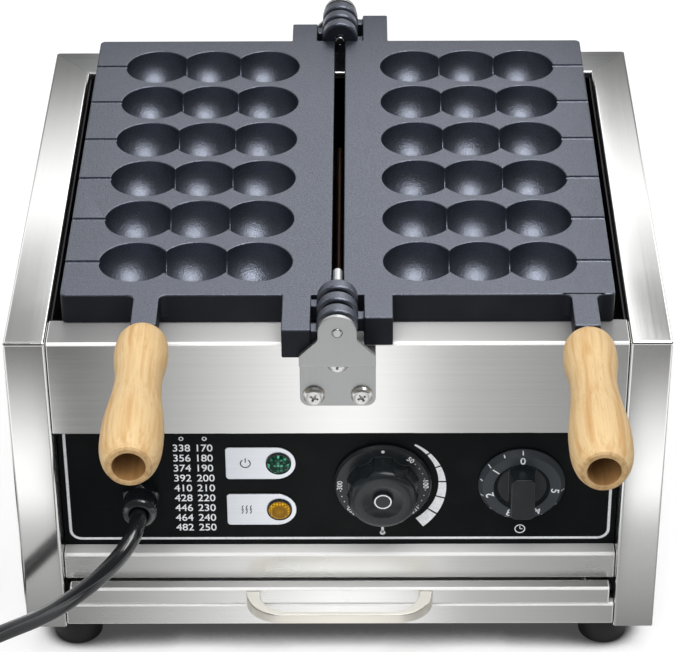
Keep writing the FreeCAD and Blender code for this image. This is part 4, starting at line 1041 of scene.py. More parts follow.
    def loose_object(self) -> bpy.types.Object:
        """A bare object of the shape, for a boolean.

        Returns:
            The object.
        """
        mesh = bpy.data.meshes.new("loose")
        self.bm.to_mesh(mesh)
        return placed("loose", mesh)

    def taken_from(self, work: bpy.types.Object) -> "Shape":
        """Become what an object's modifiers make of it, and drop the object.

        Args:
            work: the object with its modifiers.

        Returns:
            This shape.
        """
        made = bpy.data.meshes.new_from_object(work.evaluated_get(bpy.context.evaluated_depsgraph_get()))
        self.bm.clear()
        self.bm.from_mesh(made)
        bpy.data.meshes.remove(work.data)
        bpy.data.meshes.remove(made)
        return self

    def carve(self, tool: "Shape", how: Cut) -> "Shape":
        """Add another shape, take it away, or keep what both hold.

        Args:
            tool: the other shape.
            how: what it does to this one.

        Returns:
            This shape.
        """
        work, knife = self.loose_object(), tool.loose_object()
        modifier = work.modifiers.new("carve", "BOOLEAN")
        modifier.operation, modifier.solver, modifier.object = how.value, "EXACT", knife
        self.taken_from(work)
        bpy.data.meshes.remove(knife.data)
        return self

    def softened(self, width: float, segments: int) -> "Shape":
        """Round every sharp edge for good.

        Args:
            width: width of the rounding.
            segments: faces across it.

        Returns:
            This shape.
        """
        work = self.loose_object()
        round_off(work, width, segments)
        return self.taken_from(work)

    def settle(self, name: str, body: Body, finish: Finish, replaces: Sequence[str] = (),
               edge: float = 0.0, segments: int = 2) -> bpy.types.Object:
        """Make the shape a piece of the appliance.

        Args:
            name: the piece's name.
            body: what it moves with.
            finish: its surface.
            replaces: CAD nodes that it stands for.
            edge: width of the rounding along its edges.
            segments: faces across that rounding.

        Returns:
            The finished object.
        """
        bmesh.ops.scale(self.bm, vec=(MM,) * 3, verts=self.bm.verts[:])
        mesh = bpy.data.meshes.new(name)
        self.bm.to_mesh(mesh)
        self.bm.free()
        mesh.polygons.foreach_set("use_smooth", [True] * len(mesh.polygons))
        if not edge:
            mesh.set_sharp_from_angle(angle=SHARP)
        made = placed(name, mesh)
        mesh.materials.clear()
        mesh.materials.append(finish.material())
        if edge:
            round_off(made, edge * MM, segments)
        made.modifiers.new("shading", "WEIGHTED_NORMAL").keep_sharp = True
        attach(made, body.value)
        if replaces:
            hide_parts(*replaces)
        LOG.info("%s: %d faces on %s", name, len(mesh.polygons), body.value)
        return made


def repaint(piece: bpy.types.Object, finish: Finish, picked: Callable[[bpy.types.MeshPolygon], bool]) -> None:
    """Give some faces of a piece another finish.

    Args:
        piece: the piece.
        finish: the finish of those faces.
        picked: says of a face whether it is one of them.
    """
    index = len(piece.data.materials)
    piece.data.materials.append(finish.material())
    for face in piece.data.polygons:
        if picked(face):
            face.material_index = index


def dress(node: str, finish: Finish, edge: float = 0.2, ledge: Finish | None = None,
          way: Sequence[float] = UP) -> bpy.types.Object:
    """Stand a merged copy with soft edges in a CAD node's place.

    Args:
        node: the CAD node.
        finish: its surface.
        edge: width of the rounding along its edges.
        ledge: another surface for the faces that look one way; if that is up, folds and rounded edges get a
            painted white highlight.
        way: which way those faces look.

    Returns:
        The finished object.
    """
    body = Body(frame["nodes"][node]["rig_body"])
    made = Shape.copy_of(node).settle(node + "_dressed", body, finish, [node], edge)
    for face in made.data.polygons:
        face.use_smooth = len(face.vertices) <= 4
    if ledge:
        toward = Vector(way)
        # folds and rounded edges of up-facing ledges get a painted white highlight
        fold = EDGE_GLINT if way == UP else finish
        repaint(made, ledge, lambda face: face.normal.dot(toward) > LEDGE_FACING)
        repaint(made, fold, lambda face: FOLD_FACING < face.normal.dot(toward) <= LEDGE_FACING)
        made.modifiers["edges"].material = len(made.data.materials) - 1
    return made


@dataclass
class PanScrew:
    """A pan-head screw with a cross recess."""

    shank: float = 4.0
    head: float = 10.6
    rise: float = 3.0
    length: float = 9.0
    shoulder: float = 0.35
    crown: float = 0.74
    recess: float = 4.8
    recess_width: float = 1.3
    recess_depth: float = 1.8
    first_turn: float = 24.0
    next_turn: float = 37.0

    def build(self) -> Shape:
        """A screw whose head sits on the origin and points to the front.

        Returns:
            The screw.
        """
        head, shank, rise = self.head / 2, self.shank / 2, self.rise
        section = [(-self.length, 0, 0), (-self.length, shank, 0.4), (0, shank, 0), (0, head, 0.3),
                   (rise * self.shoulder, head, 0.9), (rise, head * self.crown, 2.2), (rise, 0, 0)]
        screw = Shape.turned(section, (0, 0, 0), steps=56)
        half, arm = self.recess_width / 2, self.recess / 2
        quarter = [(half, arm), (half, half), (arm, half)]
        cross = []
        for turn in range(4):
            spun = Matrix.Rotation(-turn * math.pi / 2, 2)
            cross += [(*(spun @ Vector(corner)), 0.15) for corner in quarter]
        tool = Shape.prism(cross, Plane.XZ, -rise - 1, -rise + self.recess_depth)
        return screw.carve(tool, Cut.TAKE)

    def row(self, places: Sequence[Matrix]) -> Shape:
        """Copies of the screw at several places, each driven home at another angle.

        Args:
            places: where each screw sits and which way it points.

        Returns:
            The screws.
        """
        screw, group = self.build(), Shape()
        for count, place in enumerate(places):
            driven = math.radians(self.first_turn + self.next_turn * count)
            group.join(screw.twin().moved(place @ Matrix.Rotation(driven, 4, "Y")))
        return group


@dataclass
class SteelBody:
    """Folded sheet shell with its floor, posts, inner walls and feet."""

    foot_radius: float = 14.5
    foot_taper: float = 1.5
    foot_height: float = 20.0
    foot_lip: float = 0.86
    foot_pad: float = 12.0
    foot_bore: float = 5.55
    foot_hole: float = 2.3
    foot_screw: float = 19.4
    foot_x: float = 144.5
    foot_front: float = -80.0
    foot_rear: float = 186.0
    rear_face: float = 208.0
    rear_screw_x: float = 128.0
    rear_screw_z: tuple[float, float] = (62.0, 148.0)

    def feet_at(self) -> list[tuple[float, float]]:
        """The middle of each foot in plan."""
        return [(x, y) for y in (self.foot_front, self.foot_rear) for x in (-self.foot_x, self.foot_x)]

    def shell(self) -> None:
        """Dress the folded sheets."""
        dress("left_side_panel", STAINLESS_SIDE, 0.2, STAINLESS_OUTER, (-1, 0, 0))
        dress("right_side_panel", STAINLESS_SIDE, 0.2, STAINLESS_OUTER, (1, 0, 0))
        dress("front_apron", STAINLESS, 0.45, LEDGE_PAINTED_SHEEN)
        dress("lower_rail", STAINLESS_LOW, 0.7, RAIL_LEDGE_PAINTED_SHEEN)
        dress("base_pan", STAINLESS_LOW, 0.5, RAIL_LEDGE_PAINTED_SHEEN)
        dress("rear_panel", STAINLESS_REAR_SHADED)
        # painted shade: the stainless control panel is dressed gloss black so that its margins round the
        # facing stay dark
        dress("control_panel", PANEL_BLACK)
        for node in ("chamber_liner", "firewall", "heater_supports"):
            dress(node, SCORCHED, 0.12)
        for node in ("rear_posts", "tray_runners"):
            dress(node, GALVANISED, 0.12)

    def feet(self) -> None:
        """Turned rubber feet with a lip, and their screws and nuts."""
        top, radius, low = self.foot_height, self.foot_radius, self.foot_radius - self.foot_taper
        seat = top - self.foot_pad
        section = [(0, self.foot_bore, 0.3), (0, low, 1.6), (top * self.foot_lip, radius, 0.5),
                   (top, radius, 0.5), (top, self.foot_hole, 0), (seat, self.foot_hole, 0),
                   (seat, self.foot_bore, 0)]
        feet = Shape().join(*(Shape.turned(section, (x, y, 0), UP, 56) for x, y in self.feet_at()))
        feet.settle("turned_rubber_feet", Body.CHASSIS, RUBBER, ["rubber_feet"])
        upward = Matrix.Rotation(math.pi / 2, 4, "X")
        screws = PanScrew(length=self.foot_screw).row(
            [Matrix.Translation((x, y, seat)) @ upward for x, y in self.feet_at()])
        screws.settle("cross_foot_screws", Body.CHASSIS, ZINC, ["foot_screws"])
        dress("foot_nuts", ZINC)

    def rear_screws(self) -> None:
        """Screws in the corners of the back wall."""
        about = Matrix.Rotation(math.pi, 4, "Z")
        places = [Matrix.Translation((x, self.rear_face, z)) @ about
                  for x in (-self.rear_screw_x, self.rear_screw_x) for z in self.rear_screw_z]
        PanScrew().row(places).settle("cross_rear_screws", Body.CHASSIS, ZINC, ["rear_panel_screws"])

    def build(self) -> None:
        """Build the whole shell."""
        self.shell()
        self.feet()
        self.rear_screws()


@dataclass
class HingeSizes:
    """What the plates, the pins and the brackets share."""

    height: float = 223.45
    middle_y: float = 53.0
    pin: float = 5.0
    knuckle: float = 10.4
    knuckle_edge: float = 1.8
    knuckle_play: float = 0.06
    bracket_play: float = 0.05


@dataclass
class MouldPlate:
    """One cast plate: skirted slab, joined ball cavities, stick grooves, hinge lugs and handle bar."""

    top: float = 223.2
    thickness: float = 17.0
    inner: float = 3.0
    outer: float = 141.0
    half_length: float = 136.5
    corner: float = 3.0
    small_corner: float = 0.8
    skin: float = 6.0
    skirt: float = 6.0
    ball: float = 18.5
    ball_wall: float = 3.0
    ball_pitch: float = 31.5
    ball_middle: float = 73.5
    row_pitch: float = 42.0
    rows: int = 6
    groove: float = 1.5
    rib_width: float = 4.0
    rib_height: float = 6.0
    lug_inner: float = 13.4
    lug_outer: float = 28.0
    long_lug: float = 168.5
    short_lug: float = 157.5
    knuckle_spans: tuple[tuple[float, float], ...] = ((-145.5, -137.5), (-167.5, -159.5), (148.5, 156.5))
    web_drop: float = 1.6
    web_inset: float = 0.6
    web_rise: float = 0.4
    bar: float = 13.0
    bar_fillet: float = 4.0
    left_bar: tuple[float, float] = (-97.0, 26.5)
    right_bar: tuple[float, float] = (125.0, 28.5)
    tapped: float = 3.02
    tapped_depth: float = 18.0
    edge: float = 0.7

    def row_places(self) -> list[float]:
        """The y of each row about the plate's middle."""
        return [(i - (self.rows - 1) / 2) * self.row_pitch for i in range(self.rows)]

    def ball_places(self, y: float) -> list[Vector]:
        """The middle of each ball of a row of the left plate, in the plane of its top."""
        return [Vector((-self.ball_middle + i * self.ball_pitch, y, 0)) for i in (-1, 0, 1)]

    def slab(self) -> Shape:
        """The left slab with its two lugs, hollowed from below.

        Returns:
            The slab.
        """
        small, end = self.small_corner, self.half_length
        near, far = -self.lug_inner, -self.lug_outer
        outline = [(-self.inner, -end, small), (near, -end, small), (near, -self.long_lug, small),
                   (far, -self.long_lug, small), (far, -end, small), (-self.outer, -end, self.corner),
                   (-self.outer, end, self.corner), (far, end, small), (far, self.short_lug, small),
                   (near, self.short_lug, small), (near, end, small), (-self.inner, end, small)]
        slab = Shape.prism(outline, Plane.XY, -self.thickness, 0)
        near, far, long = -self.inner - self.skirt, -self.outer + self.skirt, self.half_length - self.skirt
        hollow = [(near, -long, self.corner), (far, -long, self.corner), (far, long, self.corner),
                  (near, long, self.corner)]
        return slab.carve(Shape.prism(hollow, Plane.XY, -self.thickness - 1, -self.skin), Cut.TAKE)

    def underside(self) -> tuple[Shape, Shape]:
        """Ball backs and cross ribs under the skin.

        Returns:
            The ball backs, then the ribs.
        """
        backs, ribs = self.ball_rows(self.ball + self.ball_wall, -self.skin / 2), Shape()
        far, near = -self.outer + self.skirt / 2, -self.inner - self.skirt / 2
        for low, high in zip(self.row_places(), self.row_places()[1:]):
            y = (low + high) / 2
            ribs.join(Shape.block((far, y - self.rib_width / 2, -self.skin - self.rib_height),
                                  (near, y + self.rib_width / 2, -self.skin / 2)))
        return backs, ribs

    def knuckles(self, hinge: HingeSizes) -> Shape:
        """Hinge barrels with their webs to the lugs.

        Args:
            hinge: the shared sizes.

        Returns:
            The barrels.
        """
        barrels = Shape()
        lift = hinge.height - self.top
        low = lift - hinge.knuckle + self.web_rise
        for front, rear in self.knuckle_spans:
            barrel = Shape.rod(hinge.knuckle, (0, front, lift), (0, rear, lift), hinge.knuckle_edge)
            web = Shape.block((-self.lug_inner - 1, front + self.web_inset, low),
                              (0, rear - self.web_inset, -self.web_drop))
            barrel.carve(web, Cut.ADD)
            bore = Shape.rod(hinge.pin / 2 + hinge.knuckle_play, (0, front - 1, lift), (0, rear + 1, lift))
            barrels.join(barrel.carve(bore, Cut.TAKE))
        return barrels

    def ball_rows(self, radius: float, top: float | None = None) -> Shape:
        """All rows of joined balls of a radius, kept up to a height."""
        rows = (Shape.joined_balls(radius, self.ball_places(y), top) for y in self.row_places())
        return Shape().join(*rows)

    def grooves(self) -> Shape:
        """Cutters for the stick grooves."""
        starts, out = [self.ball_places(y)[0] for y in self.row_places()], Vector((self.outer, 0, 0))
        return Shape().join(*(Shape.rod(self.groove, start - out, start, 0, 32) for start in starts))

    def bar_end(self, bar: tuple[float, float], hinge: HingeSizes) -> tuple[float, float]:
        """The x and y where a handle bar ends."""
        return (bar[0], hinge.middle_y - self.half_length - bar[1])

    def casting(self, hinge: HingeSizes) -> Shape:
        """The left plate without its bar, its middle on the origin and its top at 0.

        Args:
            hinge: the shared sizes.

        Returns:
            The casting.
        """
        plate = self.slab()
        for part in self.underside():
            plate.carve(part, Cut.ADD)
        plate.carve(self.knuckles(hinge), Cut.ADD)
        return plate.carve(self.ball_rows(self.ball), Cut.TAKE)

    def handle_bar(self, x: float, length: float) -> Shape:
        """Square bar to the front with flared roots and a tapped end.

        Args:
            x: its middle.
            length: how far it reaches from the plate.

        Returns:
            The bar.
        """
        half, root, fillet = self.bar / 2, -self.half_length, self.bar_fillet
        flare = half + fillet + 0.01
        outline = [(x + flare, root + 1, 0), (x + flare, root, 0), (x + half, root, fillet),
                   (x + half, root - length, 0.8), (x - half, root - length, 0.8), (x - half, root, fillet),
                   (x - flare, root, 0), (x - flare, root + 1, 0)]
        bar = Shape.prism(outline, Plane.XY, -self.bar, 0)
        tip = root - length
        hole = Shape.rod(self.tapped, (x, tip - 1, -half), (x, tip + self.tapped_depth, -half))
        return bar.carve(hole, Cut.TAKE)

    def darken_walls(self, plate: bpy.types.Object) -> None:
        """Give the upright outer walls their duller as-cast coat, which also stands in for shade and keeps
        them dark.

        Args:
            plate: the finished plate.
        """
        skin_low = (self.top - self.skin) * MM

        def is_wall(face: bpy.types.MeshPolygon) -> bool:
            """Upright faces, apart from the steep rims of the cavities."""
            steep = abs(face.normal.z)
            return steep < 0.3 and (steep <= 0.02 or face.center.z <= skin_low)

        repaint(plate, WALL_COAT_SHADED, is_wall)

    def build(self, hinge: HingeSizes) -> None:
        """Both plates: the right one is the left casting turned end for end.

        Args:
            hinge: the shared sizes.
        """
        casting, grooves = self.casting(hinge), self.grooves()
        half_turn = Matrix.Rotation(math.pi, 4, "Z")
        plates = ((casting.twin(), grooves.twin(), self.left_bar, Body.LEFT_PLATE, "left_mould_plate"),
                  (casting.moved(half_turn), grooves.moved(half_turn), self.right_bar, Body.RIGHT_PLATE,
                   "right_mould_plate"))
        for plate, cutters, bar, body, node in plates:
            plate.carve(self.handle_bar(*bar), Cut.ADD)
            plate.softened(self.edge, 3).carve(cutters, Cut.TAKE)
            plate.put(0, hinge.middle_y, self.top)
            self.darken_walls(plate.settle("cast_" + node, body, NON_STICK, [node]))


@dataclass
class PivotBracket:
    """Joggled steel bracket with its pin and three screws, at the front and turned round at the rear."""

    sheet: float = 2.5
    inside_bend: float = 0.8
    outside_bend: float = 1.8
    foot_face: float = -104.5
    face: float = -119.0
    low: float = 168.8
    shelf: float = 202.3
    half_width: float = 19.3
    shoulder: float = 209.4
    neck: float = 218.9
    nose: float = 9.8
    low_corner: float = 5.0
    side_corner: float = 2.5
    spare: float = 40.0
    pin_rise: float = 0.4
    pin_edge: float = 0.7
    screw_head: float = 11.2
    screw_x: float = 12.2
    screw_low: float = 175.8
    screw_high: float = 195.8
    pin_ends: tuple[float, float] = (-62.5, -82.0)

    def sheet_form(self, hinge: HingeSizes) -> Shape:
        """The folded and trimmed sheet.

        Args:
            hinge: the shared sizes.

        Returns:
            The sheet.
        """
        t, inside, outside, past = self.sheet, self.inside_bend, self.outside_bend, hinge.height + self.spare
        foot, face, shelf, w, nose = self.foot_face, self.face, self.shelf, self.half_width, self.nose
        fold = [(foot, self.low, 0), (foot, shelf, inside), (face, shelf, outside), (face, past, 0),
                (face + t, past, 0), (face + t, shelf + t, inside), (foot + t, shelf + t, outside),
                (foot + t, self.low, 0)]
        form = Shape.prism(fold, Plane.YZ, -w - 1, w + 1)
        half = [(-w, self.low, self.low_corner), (-w, self.shoulder, self.side_corner),
                (-nose, self.neck, self.side_corner), (-nose, hinge.height + nose, nose - 0.01)]
        window = half + [(-x, z, r) for x, z, r in half[::-1]]
        form.carve(Shape.prism(window, Plane.XZ, face - 2, foot + 2 * t), Cut.KEEP)
        radius = hinge.pin / 2 + hinge.bracket_play
        bore = Shape.rod(radius, (0, face - 2, hinge.height), (0, face + 2 * t, hinge.height))
        return form.carve(bore, Cut.TAKE)

    def pin(self, hinge: HingeSizes, end: float) -> Shape:
        """The hinge pin with its riveted head flush in the bracket."""
        start = (0, self.face - self.pin_rise, hinge.height)
        return Shape.rod(hinge.pin / 2, start, (0, end, hinge.height), self.pin_edge)

    def screws(self) -> Shape:
        """The three screws of the bracket.

        Returns:
            The screws.
        """
        places = [(-self.screw_x, self.screw_low), (self.screw_x, self.screw_low), (0, self.screw_high)]
        screw = PanScrew(head=self.screw_head)
        return screw.row([Matrix.Translation((x, self.foot_face, z)) for x, z in places])

    def build(self, hinge: HingeSizes) -> None:
        """Both ends of the hinge.

        Args:
            hinge: the shared sizes.
        """
        about = (Matrix.Translation((0, hinge.middle_y, 0)) @ Matrix.Rotation(math.pi, 4, "Z")
                 @ Matrix.Translation((0, -hinge.middle_y, 0)))
        for end, place, pin_end in (("front", Matrix(), self.pin_ends[0]), ("rear", about, self.pin_ends[1])):
            shapes = ((self.sheet_form(hinge), "joggled_%s_bracket", BRACKET_STEEL, "%s_pivot_bracket", 0.35),
                      (self.pin(hinge, pin_end), "ground_%s_pin", PIN_STEEL, "%s_pivot_pin", 0.0),
                      (self.screws(), "cross_%s_bracket_screws", ZINC, "%s_bracket_screws", 0.0))
            for shape, name, finish, node, edge in shapes:
                shape.moved(place).settle(name % end, Body.CHASSIS, finish, [node % end], edge)


@dataclass
class WoodenHandle:
    """Turned grip on its threaded rod, with the spacer, washer and nut."""

    side: str
    body: Body
    x: float
    root: float
    spacer: float
    axis_z: float = 216.7
    length: float = 109.0
    bore: float = 8.0
    bore_depth: float = 26.0
    bore_chamfer: float = 0.3
    tip: float = 10.2
    rod: float = 3.0
    rod_play: float = 0.2
    rod_root: float = 17.0
    rod_past: float = 8.2
    spacer_radius: float = 6.0
    washer: float = 6.3
    washer_sheet: float = 1.2
    nut_flats: float = 10.0
    nut_height: float = 5.0
    nut_play: float = 0.02
    stations: tuple[tuple[float, float], ...] = (
        (0.0, 6.6), (3.9, 11.1), (13.0, 13.3), (40.0, 11.6), (88.0, 15.2), (103.0, 13.6), (108.2, 11.2))

    @property
    def start(self) -> float:
        """Where the grip begins, in front of its spacer."""
        return self.root - self.spacer

    def grip(self) -> None:
        """The turned and bored beech grip."""
        curve = smooth_line([(s, r, 0) for s, r in self.stations], 10)
        end, bore, chamfer = self.length, self.bore, self.bore_chamfer
        seat, hole = end - self.bore_depth, self.rod + self.rod_play
        section = [(0, hole, 0)] + [(p.x, p.y, 0) for p in curve]
        section += [(end, self.tip, 0), (end, bore + chamfer, 0), (end - chamfer, bore, 0), (seat, bore, 0),
                    (seat, hole, 0)]
        grip = Shape.turned(section, (self.x, self.start, self.axis_z), steps=96)
        made = grip.settle(f"turned_{self.side}_grip", self.body, BEECH, [f"{self.side}_grip"])

        def in_bore(face: bpy.types.MeshPolygon) -> bool:
            """Faces of the bore behind the tip."""
            x, y, z = face.center / MM
            return math.hypot(x - self.x, z - self.axis_z) < bore + 0.02 and y < self.start - 2

        repaint(made, END_GRAIN, lambda face: face.center.y / MM < self.start - end + 0.4)
        # painted shade: the bore takes a darker wood colour
        repaint(made, BORE_WOOD_SHADED, in_bore)

    def hardware(self) -> None:
        """Rod with its spacer, and the nut on its washer."""
        x, z, root, start = self.x, self.axis_z, self.root, self.start
        seat, hole = start - self.length + self.bore_depth, self.rod + self.nut_play
        rod = Shape.rod(self.rod, (x, root + self.rod_root, z), (x, seat - self.rod_past, z), 0.5)
        rod.carve(Shape.rod(self.spacer_radius, (x, root, z), (x, start, z), 0.3), Cut.ADD)
        rod.settle(f"threaded_{self.side}_rod", self.body, ZINC, [f"{self.side}_handle_rod"])
        under = seat - self.washer_sheet
        nut = Shape.ring(hole, self.washer, (x, seat, z), (x, under, z), 0.2)
        nut.join(Shape.hexagon(self.nut_flats, (x, under, z), (x, under - self.nut_height, z), hole))
        nut.settle(f"hexagon_{self.side}_nut", self.body, ZINC, [f"{self.side}_grip_nut"])

    def build(self) -> None:
        """Build the handle."""
        self.grip()
        self.hardware()


@dataclass
class ControlFace:
    """Black facing with its printed scales, pilot lamps and cable gland."""

    face: float = -86.0
    thermostat: tuple[float, float] = (23.2, 105.45)
    timer: tuple[float, float] = (96.8, 105.45)
    lamp_x: float = -31.8
    lamp_z: tuple[float, float] = (118.95, 88.35)
    plate_left: float = -59.8
    plate_right: float = -22.7
    plate_half: float = 10.4
    plate_sheet: float = 0.8
    plate_hole: float = 5.25
    lens: float = 6.0
    lens_rise: float = 2.6
    lens_stem: float = 5.0
    lens_depth: float = 3.7
    lamp_sign: float = 10.5
    sign_z: float = 74.4
    table_x: tuple[float, float] = (-82.7, -70.5)
    table_top: float = 128.6
    table_pitch: float = 6.585
    table_rows: int = 9
    table_head: float = 134.6
    figure: float = 4.5
    gauge_inner: float = 29.6
    gauge_outer: float = 30.6
    gauge_growth: float = 5.9
    gauge_span: tuple[float, float] = (34.0, 145.0)
    gauge_blocks: int = 6
    gauge_gap: float = 1.6
    gland: tuple[float, float] = (-105.3, 96.95)
    gland_flats: float = 18.5
    gland_foot: float = 5.0
    gland_bore: float = 4.8
    gland_thread: float = 7.5
    gland_reach: float = 10.7
    border_x: float = 144.9
    border_low: float = 67.6
    border_high: float = 145.5
    border_line: float = 1.5
    border_corner: float = 6.5

    def facing(self) -> None:
        """The facing itself and the hidden parts behind it."""
        dress("panel_overlay", PANEL_BLACK, 0.1)
        for node in ("thermostat_body", "timer_body", "lamp_holders"):
            dress(node, GREY_MOULDING, 0.4)
        for node in ("thermostat_shaft", "timer_shaft"):
            dress(node, ZINC)
        dress("terminal_block", CERAMIC, 0.3)
        dress("gland_locknut", GREY_MOULDING, 0.3)

    def border(self) -> Shape:
        """The line round the facing.

        Returns:
            The line.
        """
        lines = []
        for inset in (0.0, self.border_line):
            x, low, high = self.border_x - inset, self.border_low + inset, self.border_high - inset
            round_ = self.border_corner - inset
            lines.append([(-x, low, round_), (x, low, round_), (x, high, round_), (-x, high, round_)])
        outer, inner = lines
        line = Shape.prism(outer, Plane.XZ, self.face - INK, self.face)
        return line.carve(Shape.prism(inner, Plane.XZ, self.face - 1, self.face + 1), Cut.TAKE)

    def scale_table(self) -> list[tuple[Shape, float, float]]:
        """Two columns of temperatures in matching rows.

        Returns:
            Each print with its x and z.
        """
        inks = []
        for row in range(self.table_rows):
            celsius = 170 + 10 * row
            z = self.table_top - self.table_pitch * row
            for x, degrees in zip(self.table_x, (round(celsius * 1.8 + 32), celsius)):
                inks.append((Shape.lettering(str(degrees), self.figure), x, z))
        return inks + [(Shape.sector(0.75, 1.3), x, self.table_head) for x in self.table_x]

    def gauge(self) -> list[tuple[Shape, float, float]]:
        """The widening arc beside the thermostat, in six blocks.

        Returns:
            Each block with its x and z.
        """
        inks = []
        first, last = self.gauge_span
        step = (last - first) / self.gauge_blocks
        for i in range(self.gauge_blocks):
            start, end = first + i * step, first + (i + 1) * step - self.gauge_gap
            wide = [self.gauge_outer + self.gauge_growth * (a - first) / (last - first) for a in (start, end)]
            inks.append((Shape.sector(self.gauge_inner, wide[0], start, end, wide[1]), *self.thermostat))
        return inks

    def signs(self) -> list[tuple[Shape, float, float]]:
        """Plain signs under the dials: a thermometer and a clock.

        Returns:
            Each print with its x and z.
        """
        x, timer_x, low = self.thermostat[0], self.timer[0], self.sign_z
        tube = [(-0.7, -2.2, 0.6), (0.7, -2.2, 0.6), (0.7, 3.4, 0.69), (-0.7, 3.4, 0.69)]
        stem, bulb = Shape.prism(tube, Plane.XZ, -INK, 0), Shape.sector(0, 1.5)
        clock = Shape.sector(2.3, 2.9)
        hand = Shape.block((-0.25, -INK, 0), (0.25, 0, 1.9))
        short = Shape.block((0, -INK, -0.25), (1.4, 0, 0.25))
        return [(stem, x, low), (bulb, x, low - 2.4), (clock, timer_x, low), (hand, timer_x, low),
                (short, timer_x, low)]

    def prints(self) -> None:
        """All white prints of the facing as one piece."""
        inks = self.scale_table() + self.gauge() + self.signs()
        on_face = Shape().join(*(shape.put(x, self.face, z) for shape, x, z in inks), self.border())
        on_face.settle("printed_scales", Body.CHASSIS, WHITE_INK)

    def lamps(self) -> None:
        """Label plates, lenses, bezels and the plain sign on each plate."""
        kinds = (("power", self.lamp_z[0], GREEN_LENS, self.power_sign()),
                 ("heat", self.lamp_z[1], AMBER_LENS, self.heat_sign()))
        x, left, right, half = self.lamp_x, self.plate_left, self.plate_right, self.plate_half
        front, round_end = self.face - self.plate_sheet, half - 0.01
        stem, depth, wide = self.lens_stem, -self.lens_depth, self.lens
        for kind, z, finish, sign in kinds:
            outline = [(left, z - half, 2.0), (right, z - half, round_end), (right, z + half, round_end),
                       (left, z + half, 2.0)]
            plate = Shape.prism(outline, Plane.XZ, front, self.face)
            plate.carve(Shape.rod(self.plate_hole, (x, front - 2, z), (x, self.face + 2, z)), Cut.TAKE)
            plate.settle(f"pressed_{kind}_plate", Body.CHASSIS, LABEL, [f"{kind}_lamp_plate"], 0.3, 3)
            section = [(depth, 0, 0), (depth, stem, 0), (0, stem, 0), (0, wide, 0.2), (0.9, wide, 0.6),
                       (self.lens_rise - 0.25, 4.3, 2.0), (self.lens_rise, 0, 0)]
            lens = Shape.turned(section, (x, front, z))
            lens.settle(f"domed_{kind}_lens", Body.CHASSIS, finish, [f"{kind}_lamp_lens"])
            bezel = Shape.ring(wide + 0.02, wide + 0.75, (x, front, z), (x, front - 1.1, z), 0.35)
            bezel.settle(f"{kind}_lamp_bezel", Body.CHASSIS, KNOB_BLACK)
            sign.put(left + self.lamp_sign, front, z).settle(f"{kind}_lamp_sign", Body.CHASSIS, BLACK_INK)

    def power_sign(self) -> Shape:
        """A broken ring with an upright bar."""
        ring = Shape.sector(2.3, 2.9, 35, 325)
        return ring.join(Shape.block((-0.3, -INK, 0.6), (0.3, 0, 3.4)))

    def heat_sign(self) -> Shape:
        """Three rising waves.

        Returns:
            The sign.
        """
        sign = Shape()
        for x in (-2.2, 0, 2.2):
            low = Shape.sector(1.25, 1.75, 30, 150).put(x - 1.3, 0, -1.3)
            high = Shape.sector(1.25, 1.75, 210, 330).put(x + 1.3, 0, 1.3)
            sign.join(low, high)
        return sign

    def cable_gland(self) -> None:
        """Hexagon foot, rounded clamp nut and thread of the gland."""
        x, z = self.gland
        front, bore = self.face - self.gland_foot, self.gland_bore
        foot = Shape.hexagon(self.gland_flats, (x, self.face, z), (x, front, z), bore)
        dome = [(0, bore, 0), (0, 8.2, 0.3), (1.6, 8.2, 0.3), (2.2, 9.4, 0.5), (10.6, 9.2, 3.4),
                (12.6, 6.2, 1.2), (11.4, bore, 0.6)]
        nut = Shape.turned(dome, (x, front, z), steps=72)
        start = (x, self.face + self.gland_reach, z)
        thread = Shape.ring(bore, self.gland_thread, start, (x, self.face, z), 0.4)
        foot.join(nut, thread).settle("rounded_cable_gland", Body.CHASSIS, CORD_BLACK, ["cable_gland"], 0.25)

    def build(self) -> None:
        """Build the control face."""
        self.facing()
        self.prints()
        self.lamps()
        self.cable_gland()


@dataclass
class DialKnob:
    """What both knobs share: where they sit and how their prints are placed."""

    x: float
    z: float
    back: float = -86.8

    def at(self, depth: float) -> tuple[float, float, float]:
        """The point of the knob's axis so far in front of its back."""
        return (self.x, self.back - depth, self.z)

    def on_ring(self, shape: Shape, radius: float, angle: float, depth: float) -> Shape:
        """Put a print on the skirt, turned with it.

        Args:
            shape: the print, about the origin.
            radius: its distance from the axis.
            angle: degrees clockwise from the top.
            depth: distance in front of the knob's back.

        Returns:
            The placed print.
        """
        turn = math.radians(angle)
        x, y, z = self.at(depth)
        shape.moved(Matrix.Rotation(turn, 4, "Y"))
        return shape.put(x + radius * math.sin(turn), y, z + radius * math.cos(turn))


